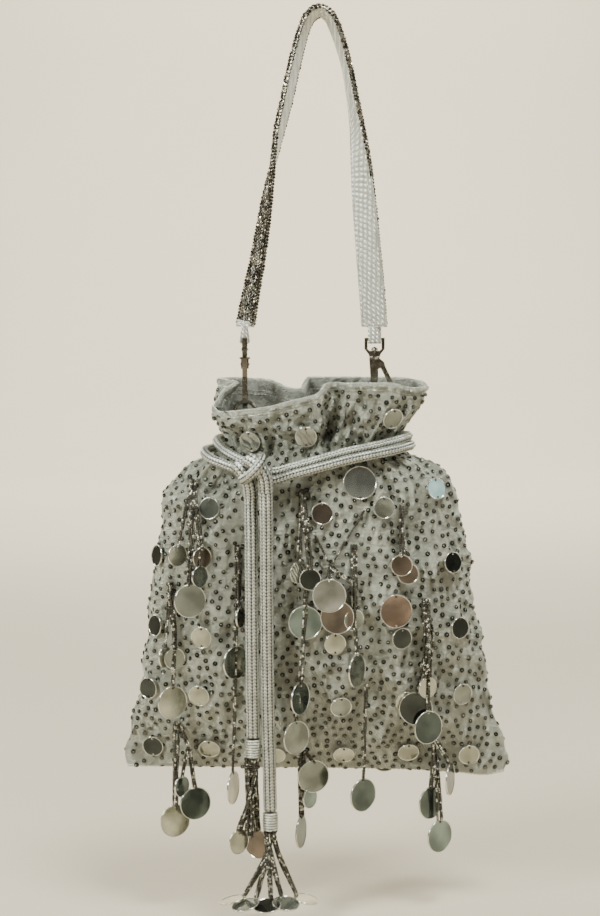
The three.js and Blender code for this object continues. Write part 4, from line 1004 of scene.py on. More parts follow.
def cloth_grid(levels, columns, inset, pouch):
    """Points of the cloth's face at the levels, set in by inset, row by row, and its normals."""
    around = np.arange(columns) * 4 / columns
    heights = height_at(levels)
    falls = between_rows(RIM_LINE[:, 0], RIM_LINE[:, 1:], around)[:, 0] * RIM_FALL
    sags = between_rows(HEM_LINE[:, 0], HEM_LINE[:, 1:], around)[:, 0] * HEM_SAG
    grid = np.empty((len(levels), columns, 3))
    facing = np.zeros_like(grid)
    for row, (level, height, sizes) in enumerate(zip(levels, heights, section_sizes(heights))):
        outline = plan_outline(sizes, columns)
        pleated = pleat_depth(around, height) - fold_depth(around, level)
        folded = outline + outward_of(outline) * pleated[:, None]
        outward = outward_of(folded)
        grid[row, :, :2] = folded
        grid[row, :, 2] = height - falls * smooth((level - 1.15) / 0.85) - sags * smooth(1 - level / 0.25)
        facing[row, :, :2] = outward
    turn = around / 4 * 2 * math.pi
    roll = np.empty_like(grid)
    roll[..., 0], roll[..., 1] = WRINKLE_DRUM * np.cos(turn), WRINKLE_DRUM * np.sin(turn)
    roll[..., 2] = heights[:, None]
    free = smooth((np.abs(heights - TIE_HEIGHT) - 6 * MM) / (12 * MM))[:, None]
    edge = smooth(np.asarray(levels) / 0.05)[:, None]
    broad = 1 - 2 * np.abs(waves(roll, *BROAD_WRINKLES))
    small = waves(roll, *SMALL_WRINKLES)
    fine = waves(roll * (1, 1, 0.8), *FINE_WRINKLES)
    moved = pouch.wrinkle * free * edge * (0.55 * broad + 0.45 * small - 0.35) + pouch.pucker * edge * fine
    moved = moved - crease_depth(grid)
    return grid + facing * (moved - inset)[..., None], facing


def bottom_cap(columns, offset, downward):
    """Faces that close a ring by joining its front half to its back half."""
    faces = []
    for column in range(columns // 2):
        corners = [column, column + 1, columns - 1 - column, (columns - column) % columns]
        corners = list(dict.fromkeys(corners))
        if len(corners) > 2:
            faces.append([offset + index for index in (corners if not downward else corners[::-1])])
    return faces


class RETICULE_OT_pouch(bpy.types.Operator):
    """Make the gathered cloth bag with its lining, turned hem and stitches"""

    bl_idname = "reticule.pouch"
    bl_label = "Pouch cloth"

    def execute(self, context):
        pouch = context.scene.reticule_pouch
        columns = pouch.columns // 4 * 4
        body_rows = round(BODY_HEIGHT / pouch.row_height)
        collar_rows = round(COLLAR_HEIGHT / pouch.row_height)
        low = np.concatenate([[0, 0.006, 0.014], np.linspace(0.025, 1, body_rows, endpoint=False)])
        high = np.linspace(1, 2, collar_rows + 1)
        outer_levels = np.concatenate([low, high])
        outer, facing = cloth_grid(outer_levels, columns, 0, pouch)
        below_rim = (2 - outer_levels) * COLLAR_HEIGHT
        band = 0.4 * MM * smooth((pouch.hem_band - below_rim) / (0.9 * MM)) * (outer_levels > 1)
        seam = 1.0 * MM * np.exp(-(((below_rim - pouch.hem_band) / (0.8 * MM)) ** 2)) * (outer_levels > 1)
        outer += facing * (band - seam)[:, None, None]
        inner_levels = np.concatenate([np.linspace(2, 0.95, 34), np.linspace(0.9, 0.1, 12)])
        inner, facing_in = cloth_grid(inner_levels, columns, CLOTH_WALL, pouch)
        below = (2 - inner_levels) * COLLAR_HEIGHT
        turned = 0.6 * MM * smooth((1.6 * pouch.hem_band - below) / (0.9 * MM)) * (inner_levels > 1)
        inner -= facing_in * turned[:, None, None]
        middle = (outer[-1] + inner[0]) / 2
        across = outer[-1] - middle
        lip = []
        for angle in np.linspace(0, math.pi, 7)[1:-1]:
            lip.append(middle + across * math.cos(angle) + np.array((0, 0, 1.1 * MM)) * math.sin(angle))
        rows = np.concatenate([outer, np.array(lip), inner])
        faces = grid_faces(len(rows), columns).tolist()
        lined = (len(inner) - 1) * columns
        zones = [0] * (len(faces) - lined) + [1] * lined
        caps = bottom_cap(columns, 0, True) + bottom_cap(columns, (len(rows) - 1) * columns, False)
        half = len(caps) // 2
        faces += caps
        zones += [0] * half + [1] * (len(caps) - half)
        cloths = [
            silver_cloth("silver_cloth", pouch.cloth, 0.6),
            silver_cloth("lining_cloth", pouch.lining, 0.15),
        ]
        piece = new_piece("pouch_cloth", rows.reshape(-1, 3), faces, cloths, "cloth", ["pouch"], zones)
        self.sew(context, outer, facing, outer_levels, inner)
        return {"FINISHED"}

    def sew(self, context, outer, facing, levels, inner):
        """Stitches round the rim, inside and out, and the whipped seam at the bottom."""
        pouch = context.scene.reticule_pouch
        yarn = silver_yarn(context.scene)
        capsule = lathe([(0, -0.5), (0.13, -0.36), (0.16, 0), (0.13, 0.36), (0, 0.5)], 5)
        below = (2 - levels) * COLLAR_HEIGHT
        row = int(np.argmin(np.abs(below - pouch.hem_band)))
        rim = outer[-1] - facing[-1] * CLOTH_WALL / 2
        parts = []
        for line, out, raised in ((outer[row], 0.3 * MM, 0), (rim, 0, 1.2 * MM)):
            path = evenly(np.vstack([line, line[:1]]) + (0, 0, raised), 0.7 * MM)
            away = np.column_stack([path[:-1, 0], path[:-1, 1] * 3, np.zeros(len(path) - 1)])
            path[:-1] += out * unit(away)
            path[-1] = path[0]
            parts.append(twisted(path, 0.36 * MM, 0.1 * MM, pouch.stitch, 6))
        for index in (5, 7):
            parts.append(self.run(inner[index] - facing[-1] * 0.3 * MM, capsule, pouch.stitch))
        new_piece("hem_stitches", *joined(parts), [yarn], "braid")
        half = outer.shape[1] // 2
        front = np.vstack([outer[0][half:], outer[0][:1]])
        back = outer[0][: half + 1][::-1]
        seam = evenly((front + back) / 2, 0.8 * MM)
        new_piece("hem_cording", *twisted(seam, 0.85 * MM, 0.3 * MM, 2.6 * MM, 10), [yarn], "braid")

    @staticmethod
    def run(line, form, pitch):
        """Running stitches along a closed line."""
        path = evenly(np.vstack([line, line[:1]]), pitch)
        along = unit(np.roll(path, -1, axis=0) - path)[:-1]
        return scatter(form, path[:-1], standing(along), 1.5 * MM)


# Sequins


def cup_form():
    """A cup sequin of width 1 with its bead, standing on its own Z."""
    cup = lathe([(0, -0.05), (0.42, -0.05), (0.5, 0.17), (0.4, 0.17), (0.2, 0.04), (0, 0.04)], 7)
    bead = lathe([(0, 0.02), (0.17, 0.08), (0.13, 0.22), (0, 0.27)], 5)
    return cup, bead


class RETICULE_OT_cup_sequins(bpy.types.Operator):
    """Sew small cup sequins over the cloth, clear of the cord and the round mirrors"""

    bl_idname = "reticule.cup_sequins"
    bl_label = "Cup sequins"

    def execute(self, context):
        sequins = context.scene.reticule_sequins
        cloth = bpy.data.objects["pouch_cloth"].data
        rng = np.random.default_rng(11)
        sewn = tree_of([*nodes_named("sequin_"), *nodes_named("drawstring")])
        quads = [face for face in cloth.polygons if face.material_index == 0 and len(face.vertices) == 4]
        areas = np.array([face.area for face in quads])
        chosen = rng.choice(len(quads), 60000, p=areas / areas.sum())
        shares = rng.random((len(chosen), 2))
        vertices = points_of(bpy.data.objects["pouch_cloth"])
        taken, places, normals = {}, [], []
        cell = sequins.spacing
        around = [(i, j, k) for i in (-1, 0, 1) for j in (-1, 0, 1) for k in (-1, 0, 1)]
        for index, (s, t) in zip(chosen, shares):
            face = quads[index]
            a, b, c, d = vertices[list(face.vertices)]
            spot = a * (1 - s) * (1 - t) + b * s * (1 - t) + c * s * t + d * (1 - s) * t
            key = tuple(np.floor(spot / cell).astype(int))
            near = (taken.get((key[0] + i, key[1] + j, key[2] + k)) for i, j, k in around)
            if any(np.linalg.norm(other - spot) < cell for found in near if found for other in found):
                continue
            if spot[2] < HEM_HEIGHT + 2 * MM - HEM_SAG or sewn.find_nearest(Vector(spot), 1.9 * MM)[0]:
                continue
            if spot[2] > TIE_HEIGHT and self.on_hem(spot, context):
                continue
            taken.setdefault(key, []).append(spot)
            places.append(spot)
            normals.append(face.normal)
        places, normals = np.array(places), np.array(normals)
        normals = unit(normals + rng.normal(scale=0.12, size=normals.shape))
        sizes = sequins.cup * rng.uniform(0.86, 1.1, len(places))
        spins = rng.uniform(0, 2 * math.pi, len(places))
        cup, bead = cup_form()
        finishes = [dark_cup(sequins.dark), glint("cup_bead", shade(sequins.bead, 0.6), sequins.bead, 0.6)]
        for name, side in (("front", places[:, 1] < 0), ("back", places[:, 1] >= 0)):
            axes = standing(normals[side], spins[side])
            made = [scatter(form, places[side], axes, sizes[side]) for form in (cup, bead)]
            points, faces = joined(made)
            zones = [0] * len(made[0][1]) + [1] * len(made[1][1])
            new_piece(f"cup_sequins_{name}", points, faces, finishes, "beads", zones=zones)
        return {"FINISHED"}

    @staticmethod
    def on_hem(spot, context):
        """Whether a spot of the collar lies on its turned hem."""
        angle = np.interp(spot[0], (-COLLAR_WIDTH / 2, COLLAR_WIDTH / 2), (2, 4))
        around = angle if spot[1] < 0 else 4 - angle
        fall = np.interp(around, RIM_LINE[:, 0], RIM_LINE[:, 1]) * RIM_FALL
        rim = TIE_HEIGHT + COLLAR_HEIGHT - fall
        return spot[2] > rim - context.scene.reticule_pouch.hem_band - 0.4 * MM


def mirror_form(size, rim):
    """A thin round mirror with a slightly raised rim, standing on its own Z, and its rim faces."""
    half, radius = MIRROR_THICKNESS / 2, size / 2
    face = [
        (0, 0.6), (radius - 1.3 * rim, 0.6), (radius - rim, 0.6),
        (radius - 0.8 * rim, 1), (radius - 0.25 * rim, 1), (radius, 0.5),
    ]
    profile = [(reach, -half * share) for reach, share in face]
    profile += [(reach, half * share) for reach, share in face[::-1]]
    points, faces = lathe(profile, 40)
    distance = np.linalg.norm(points[:, :2], axis=1)
    on_rim = [min(distance[index] for index in face) > radius - 1.01 * rim for face in faces]
    return (points, faces), on_rim


def mirror_piece(name, mirrors, sequins, nodes=()):
    """One piece of several mirrors: (middle, axes, size, tint) rows."""
    tints, finishes = all_mirrors()
    parts, zones = [], []
    for middle, axes, size, tint in mirrors:
        (points, faces), on_rim = mirror_form(size, sequins.rim)
        parts.append((points @ axes.T + middle, faces))
        zones += [0 if rim else 1 + tints.index(tint) for rim in on_rim]
    points, faces = joined(parts)
    return new_piece(name, points, faces, finishes, "mirrored", nodes, zones)


class RETICULE_OT_flat_mirrors(bpy.types.Operator):
    """Sew the round mirrors flat to the cloth, with a bead at the top and bottom of each"""

    bl_idname = "reticule.flat_mirrors"
    bl_label = "Flat mirrors"

    def execute(self, context):
        scene = context.scene
        cloth = tree_of([bpy.data.objects["pouch_cloth"]])
        dots, facing = [], []
        for tint, names in FLAT_MIRRORS.items():
            rows, nodes = [], [f"sequin_{name}" for name in names]
            for node in nodes:
                middle, axes, size = self.seat(frame["nodes"][node], cloth)
                rows.append((middle, axes, size, tint))
                for way in (1, -1):
                    dots.append(middle + axes[:, 1] * way * (size / 2 - HOLE_INSET) + axes[:, 2] * 0.5 * MM)
                    facing.append(axes[:, 2])
            mirror_piece(f"flat_mirrors_{tint}", rows, scene.reticule_sequins, nodes)
        bead = lathe([(0, -0.3), (0.5, -0.2), (0.5, 0.15), (0.25, 0.38), (0, 0.4)], 8)
        points, faces = scatter(bead, np.array(dots), standing(np.array(facing)), 1.3 * MM)
        new_piece("mirror_stitches", points, faces, [string_beads(scene)], "beads")
        return {"FINISHED"}

    @staticmethod
    def seat(node, cloth):
        """Middle, axes and size of a mirror, moved along its normal to lie on the dressed cloth."""
        points = points_of(node)
        middle = (points.min(axis=0) + points.max(axis=0)) / 2
        _, _, directions = np.linalg.svd(points - points.mean(axis=0))
        normal = directions[2] * np.sign(directions[2][1]) * np.sign(middle[1])
        reach = np.linalg.norm((points - middle) @ directions[:2].T, axis=1).max()
        axes = standing(normal[None])[0]
        bulge = -math.inf
        for ring in (0, 0.5, 1):
            for side in range(12):
                angle = side * math.pi / 6
                spot = middle + reach * ring * (axes[:, 0] * math.cos(angle) + axes[:, 1] * math.sin(angle))
                start = spot + normal * 15 * MM
                hit = cloth.ray_cast(Vector(start), Vector(-normal), 30 * MM)
                if hit[3] is not None:
                    bulge = max(bulge, 15 * MM - hit[3])
        if bulge > -math.inf:
            lift = np.clip(bulge + 0.1 * MM + MIRROR_THICKNESS / 2, -1.5 * MM, 2.5 * MM)
            middle = middle + normal * lift
        return middle, axes, 2 * reach


# Bead strings


def place_of(spot):
    return POUCH_MIDDLE + spot[0] * HEM_WIDTH / 2, float(height_at(spot[1]))


class Front:
    """The foremost face at any x and z, of all that a string hangs over."""

    def __init__(self, trees):
        self.trees = trees

    def at(self, x, z):
        found = None
        for tree in self.trees:
            hit = tree.ray_cast(Vector((x, -0.2, z)), Vector((0, 1, 0)))[0]
            if hit is not None and (found is None or hit.y < found):
                found = hit.y
        return found

    def limit(self, spots):
        """How far forward something must be, with (x, z, behind) for each of its points."""
        limits = [face - behind for x, z, behind in spots if (face := self.at(x, z)) is not None]
        return min(limits) if limits else None

    def over_strand(self, x, z, radius):
        shares = (-1, -0.5, 0, 0.5, 1)
        return self.limit([(x + s * radius, z, radius * math.sqrt(1 - s * s) + CLEARANCE) for s in shares])

    def over_mirror(self, x, z, size, turn):
        spots = []
        for ring in (0.25, 0.5, 0.75, 1):
            for side in range(24):
                spin = side * math.pi / 12
                flat = ring * (size / 2 + CLEARANCE) * math.cos(spin)
                tall = ring * (size / 2 + CLEARANCE) * math.sin(spin)
                behind = flat * math.sin(turn) + MIRROR_THICKNESS / 2 * math.cos(turn) + CLEARANCE
                spots.append((x + flat * math.cos(turn), z - size / 2 + HOLE_INSET + tall, behind))
        return self.limit(spots)


def bead_forms():
    """A faceted round bead and a short cut tube, of width 1, along their own Z."""
    ball = lathe([(0, -0.5), (0.36, -0.36), (0.5, 0), (0.36, 0.36), (0, 0.5)], 6)
    cut = lathe([(0, -0.6), (0.3, -0.6), (0.42, -0.5), (0.42, 0.5), (0.3, 0.6), (0, 0.6)], 6)
    return ball, cut


def bead_strand(path, size, rng):
    """Beads threaded along a path: rows of round ones with a longer cut one between."""
    path = evenly(path, 0.25 * MM)
    travel = travel_along(path)
    forward = frames_along(path)[0]
    stops = {"ball": [], "cut": []}
    at, count = size / 2, int(rng.integers(0, 4))
    while at < travel[-1] - 0.2 * size:
        kind = "cut" if count % 4 == 3 else "ball"
        long = size * (1.15 if kind == "cut" else 0.86)
        stops[kind].append(at + long / 2 - size / 2)
        at += long
        count += 1
    parts = []
    for form, kind in zip(bead_forms(), stops):
        if not stops[kind]:
            continue
        index = np.searchsorted(travel, stops[kind]).clip(0, len(path) - 1)
        widths = size * rng.uniform(0.88, 1.08, len(index))
        axes = standing(forward[index], rng.uniform(0, 6, len(index)), (0, 1, 0))
        parts.append(scatter(form, path[index], axes, widths))
    return parts


def bundle(path, thickness, size, rng):
    """Strands of beads side by side along a path, as thick as the bundle is."""
    radius = thickness / 2
    strands = max(1, round(0.62 * (thickness / size) ** 2))
    spread = max(0, radius - size / 2)
    _, side, up = frames_along(path)
    travel = travel_along(path)
    parts = []
    for strand in range(strands):
        inner = 0.35 if strands > 5 and strand % 3 == 0 else 1
        start = 2 * math.pi * strand / strands + rng.uniform(-0.4, 0.4)
        turn = start + travel / (rng.uniform(26, 60) * MM) + 0.5 * np.sin(travel / (9 * MM) + start)
        reach = spread * inner * (0.85 + 0.15 * np.sin(travel / (6 * MM) + 2 * start))
        outward = np.cos(turn)[:, None] * side + np.sin(turn)[:, None] * up
        moved = path + reach[:, None] * outward if strands > 1 else path
        parts += bead_strand(moved, size, rng)
    return parts


def hanging_axes(turn):
    """Axes of a mirror that hangs upright, turned about the vertical: Z is its face."""
    return np.array([(math.cos(turn), 0, math.sin(turn)), (math.sin(turn), 0, -math.cos(turn)), (0, 1, 0)])


class RETICULE_OT_bead_strings(bpy.types.Operator):
    """Hang the strings of beads over the front, with round mirrors at their feet"""

    bl_idname = "reticule.bead_strings"
    bl_label = "Bead strings"

    def execute(self, context):
        scene = context.scene
        rng = np.random.default_rng(5)
        size = scene.reticule_beads.size
        mirrors = [piece for piece in bpy.data.objects if piece.name.startswith("flat_mirrors_")]
        sewn = [*mirrors, *nodes_named("drawstring"), *nodes_named("sequin_")]
        front = Front([tree_of([bpy.data.objects["pouch_cloth"]]), tree_of(sewn)])
        for name, rows in STRINGS.items():
            parts, hung, seats = [], [], {}
            for top, foot, thick, mirror_size, turn, tint in rows:
                path = self.route(top, foot, thick * MM, mirror_size, math.radians(turn), seats, front)
                parts += bundle(evenly(path, 1 * MM), thick * MM, size, rng)
                if mirror_size:
                    axes = hanging_axes(math.radians(turn))
                    middle = path[-1] - axes[:, 1] * (mirror_size / 2 - HOLE_INSET) * np.sign(axes[2, 1])
                    hung.append((middle, axes, mirror_size, tint))
                    parts.append(scatter(bead_forms()[0], path[-1:], standing(axes[:, 2][None]), 1.6 * MM))
            finishes, nodes = [string_beads(scene)], [f"string_{name}"]
            made = [new_piece(f"beads_{name}", *joined(parts), finishes, "beads", nodes)]
            if hung:
                made.append(mirror_piece(f"mirrors_{name}", hung, scene.reticule_sequins))
            front.trees.append(tree_of([frame["nodes"][f"string_{name}"], *made]))
        return {"FINISHED"}

    @staticmethod
    def route(top, foot, thick, mirror_size, turn, seats, front):
        """The line of one run, in front of what it hangs over, as the solid string's is."""
        radius = thick / 2
        (x0, z0), (x1, z1) = place_of(top), place_of(foot)
        steps = max(2, round(math.hypot(x1 - x0, z1 - z0) / (4 * MM)))
        forward = min(seats.get(top, math.inf), front.over_strand(x0, z0, radius))
        path = []
        for step in range(steps + 1):
            x, z = x0 + (x1 - x0) * step / steps, z0 + (z1 - z0) * step / steps
            limit = front.over_strand(x, z, radius)
            if limit is not None and step:
                forward = min(forward, limit)
            path.append([x, forward, z])
        path = np.array(path)
        if mirror_size:
            limit = front.over_mirror(x1, z1, mirror_size, turn)
            push = min(0, (forward if limit is None else limit) - forward)
            path[:, 1] += push * np.arange(steps + 1) / steps
        seats[foot], seats[top] = path[-1, 1], path[0, 1]
        return curve_through(path, 6)


# Strap


def strap_line(step):
    """Middle points of the strap, its faced and widthways directions, from foot to foot."""
    left = [(-reach * STRAP_LEFT_FOOT, -drop * STRAP_DROP, turn) for drop, reach, _, turn, _ in STRAP_LEGS]
    right = [(reach * STRAP_RIGHT_FOOT, -drop * STRAP_DROP, turn) for drop, _, reach, _, turn in STRAP_LEGS]
    top_turn = (left[0][2] + right[0][2]) / 2
    shoulders = [(leg[0][0] * 0.62, -1.2 * MM, top_turn) for leg in (left, right)]
    rows = [*left[::-1], shoulders[0], (0, STRAP_THICKNESS / 2, top_turn), shoulders[1], *right]
    rows = np.array(rows)
    spots = np.stack([rows[:, 0], np.zeros(len(rows)), rows[:, 1]], axis=1)
    line = curve_through(spots)
    turns = np.interp(np.linspace(0, len(rows) - 1, len(line)), np.arange(len(rows)), rows[:, 2])
    line = evenly(np.column_stack([line, turns]), step)
    path, turn = line[:, :3], np.radians(line[:, 3])[:, None]
    forward = unit(np.gradient(path, axis=0))
    forward[0], forward[-1] = (0, 0, 1), (0, 0, -1)
    outward = np.stack([-forward[:, 2], np.zeros(len(path)), forward[:, 0]], axis=1)
    sideways = np.array([(0.0, 1.0, 0.0)])
    faced = outward * np.cos(turn) - sideways * np.sin(turn)
    wide = sideways * np.cos(turn) + outward * np.sin(turn)
    return path, forward, faced, wide


def ribbon_section():
    """The strap's section without its stones: across its width, and out towards its stoned face."""
    half, thin = STRAP_WIDTH / 2 - 0.9 * MM, STRAP_THICKNESS / 2
    across = np.linspace(half, -half, 13)
    crown = 0.35 * MM * (1 - (across / half) ** 2)
    top = np.stack([across, 0.55 * thin - 0.6 * MM + crown], axis=1)
    bottom = np.stack([across[::-1], -thin + 0.35 * MM - 0.6 * crown[::-1]], axis=1)
    return np.vstack([top, (-half - 0.35 * MM, -0.3 * thin), bottom, (half + 0.35 * MM, -0.3 * thin)])


class RETICULE_OT_strap(bpy.types.Operator):
    """Make the padded ribbon strap with its piping, crust of stones and end bindings"""

    bl_idname = "reticule.strap"
    bl_label = "Strap"

    def execute(self, context):
        scene = context.scene
        strap = scene.reticule_strap
        path, _, faced, wide = strap_line(1.4 * MM)
        section = ribbon_section()
        rings = path[:, None] + section[None, :, :1] * wide[:, None] + section[None, :, 1:] * faced[:, None]
        ribbon, yarn = strap_ribbon(scene), silver_yarn(scene)
        piece = new_piece("strap_ribbon", *loft(rings), [ribbon], "ribbon", ["strap"])
        edge = STRAP_WIDTH / 2 - strap.piping
        pipes = []
        for way, out in ((1, -0.75 * MM), (-1, -0.75 * MM), (0.72, -1.5 * MM), (-0.72, -1.5 * MM)):
            line = path + way * edge * wide + out * faced
            travel = travel_along(line)[:, None]
            angle = np.linspace(0, 2 * math.pi, 8, endpoint=False)
            thick = strap.piping * (1 if abs(way) == 1 else 0.5)
            pipes.append(tube(line, thick * (0.88 + 0.12 * np.cos(travel / (0.45 * MM) + angle)), 8))
        new_piece("strap_piping", *joined(pipes), [yarn], "ribbon")
        self.set_stones(strap)
        self.bind(path, faced, wide, ribbon)
        return {"FINISHED"}

    @staticmethod
    def set_stones(strap):
        """Rows of stones over the faced side, which wrap over its edges where the crust is thick."""
        path, forward, faced, wide = strap_line(strap.stone * 0.92)
        stone = lathe([(0, 0), (0.5, 0), (0.5, 0.16), (0.3, 0.44), (0, 0.46)], 6)
        rng = np.random.default_rng(17)
        half = STRAP_WIDTH / 2
        shares = np.linspace(-1, 1, strap.rows)
        rows = [(share * (half - 1.1 * MM), 0.75 * MM, 0.5 * share, 0) for share in shares]
        rows += [(way * (half - 0.45 * MM), 0.1 * MM, 2.2 * way, 1) for way in (-1, 1)]
        rows += [(way * (half - 0.35 * MM), -1.25 * MM, 6 * way, 1) for way in (-1, 1)]
        places, normals, spins, sizes = [], [], [], []
        for number, (across, out, lean, edge) in enumerate(rows):
            shift = 0.5 * strap.stone * (number % 2)
            for index in range(1, len(path) - 1):
                if edge and path[index, 0] > 0 and (across > 0 or path[index, 2] < -strap.crust_end):
                    continue
                aside = across + rng.normal(scale=0.1 * MM)
                spot = path[index] + forward[index] * shift + wide[index] * aside
                places.append(spot + faced[index] * (out + rng.uniform(-0.12, 0.2) * MM))
                normals.append(faced[index] + wide[index] * lean + rng.normal(scale=0.14, size=3))
                spins.append(rng.uniform(0, 2 * math.pi))
                sizes.append(strap.stone * rng.uniform(0.84, 1.06))
        axes = standing(np.array(normals), np.array(spins))
        made = scatter(stone, np.array(places), axes, np.array(sizes))
        piece = new_piece("strap_stones", *made, [crystal(strap.stones)], "ribbon")
        piece.data.shade_flat()

    @staticmethod
    def bind(path, faced, wide, ribbon):
        """A short puffed sleeve of ribbon round each foot of the strap."""
        angle = np.linspace(0, 2 * math.pi, 40, endpoint=False)
        ring = np.stack([np.cos(angle), np.sin(angle)], axis=1)
        ring = np.sign(ring) * np.abs(ring) ** 0.45
        parts = []
        for foot, kept in ((slice(0, 7), slice(0, 9)), (slice(-7, None), slice(-9, None))):
            rows = evenly(np.column_stack([path[foot], faced[foot], wide[foot]]), 0.45 * MM)[kept]
            puff = 0.22 * MM * np.abs(np.sin(np.arange(len(rows)) * math.pi / 3))
            across = ring[None, :, :1] * (STRAP_WIDTH / 2 - 0.5 * MM + puff)[:, None, None]
            out = ring[None, :, 1:] * (STRAP_THICKNESS / 2 - 0.3 * MM + puff)[:, None, None]
            parts.append(loft(rows[:, None, :3] + across * rows[:, None, 6:] + out * rows[:, None, 3:6]))
        new_piece("strap_bindings", *joined(parts), [ribbon], "ribbon")


# Drawstring and tassels


def braid(path, cords, thick):
    """A braided cord along a path, its V-shaped plaits standing out, and how deep each point lies."""
    path = evenly(path, cords.pitch / 5)
    wales = round(cords.wales * thick / CORD_DIAMETER / 2) * 2
    sides = wales * 6
    travel = travel_along(path)[:, None]
    wale = 2 * ((np.arange(sides)[None] / 6) % 1) - 1
    phase = travel / cords.pitch - 0.8 * np.abs(wale)
    strand = np.abs(np.cos(math.pi * phase))
    sunk = 1 - strand * (1 - np.abs(wale) ** 3)
    radius = thick / 2 + cords.depth * (0.3 - sunk)
    end = np.minimum(travel, travel[-1] - travel)
    radius = radius * np.sqrt(np.clip(end / (1.2 * MM), 0.25, 1))
    return tube(path, radius, sides), np.append(sunk.ravel(), (1, 1))


def note_sunk(piece, sunk):
    """Keep how deep each point of a piece lies, which the yarn's finish reads to paint shade into its
    grooves.
    """
    piece.data.attributes.new("sunk", "FLOAT", "POINT").data.foreach_set("value", sunk)


def braided_piece(name, path, scene, thick, nodes=()):
    form, sunk = braid(path, scene.reticule_cord, thick)
    piece = new_piece(name, *form, [silver_yarn(scene)], "braid", nodes)
    note_sunk(piece, sunk)
    return piece


def cord_seat(around, rise, layer):
    """A spot beside the neck where the cord just clears the cloth."""
    count = 64
    column = (around % 4) * count / 4
    low, share = int(column) % count, column - int(column)
    high = (low + 1) % count

    def spot(height):
        outline = plan_outline(section_sizes(height)[0], count)
        return outline[low] * (1 - share) + outline[high] * share, outline

    point, outline = spot(TIE_HEIGHT + rise)
    directions = outward_of(outline)
    outward = unit(directions[low] * (1 - share) + directions[high] * share)
    push = 0
    for sample in np.linspace(-1, 1, 9):
        dz = sample * TURN_RADIUS
        bulge = np.dot(spot(TIE_HEIGHT + rise + dz)[0] - point, outward)
        push = max(push, bulge + math.sqrt((TURN_RADIUS + CLEARANCE) ** 2 - dz * dz))
    return np.array([*(point + outward * (push + GATHER_DEPTH + ROUTE_MARGIN + layer)), TIE_HEIGHT + rise])


def drawstring_path():
    """The whole cord from the right tail's exit, round the neck and back, to the left tail's."""
    inner, outer = [], []
    for around, rise, apart in DRAWSTRING_TURNS:
        middle, half = rise * TURN_DIAMETER, apart * TURN_RADIUS
        upper, lower = cord_seat(around, middle + half, 0), cord_seat(around, middle - half, 0)
        step = math.sqrt(max(0, (TURN_DIAMETER + CLEARANCE) ** 2 - (2 * half) ** 2))
        inward = np.linalg.norm(lower[:2]) - np.linalg.norm(upper[:2])
        inner.append(upper)
        outer.append(cord_seat(around, middle - half, max(0, step - max(0, inward))))
    for rise in (5 * MM, 2 * MM, CLEARANCE):
        outer.insert(0, TAIL_ROUTES["left"][0] + (0, 0, rise))
        inner.insert(0, TAIL_ROUTES["right"][0] + (0, 0, rise))
    middle = (inner[-1] + outer[-1]) / 2
    up = inner[-1] - middle
    along = unit(inner[-1] - inner[-2])
    along = unit(along - up * np.dot(along, up) / np.dot(up, up)) * np.linalg.norm(up)
    bight = [middle + up * math.cos(a) + along * math.sin(a) for a in np.linspace(0, math.pi, 7)[1:-1]]
    return curve_through([*inner, *bight, *outer[::-1]])


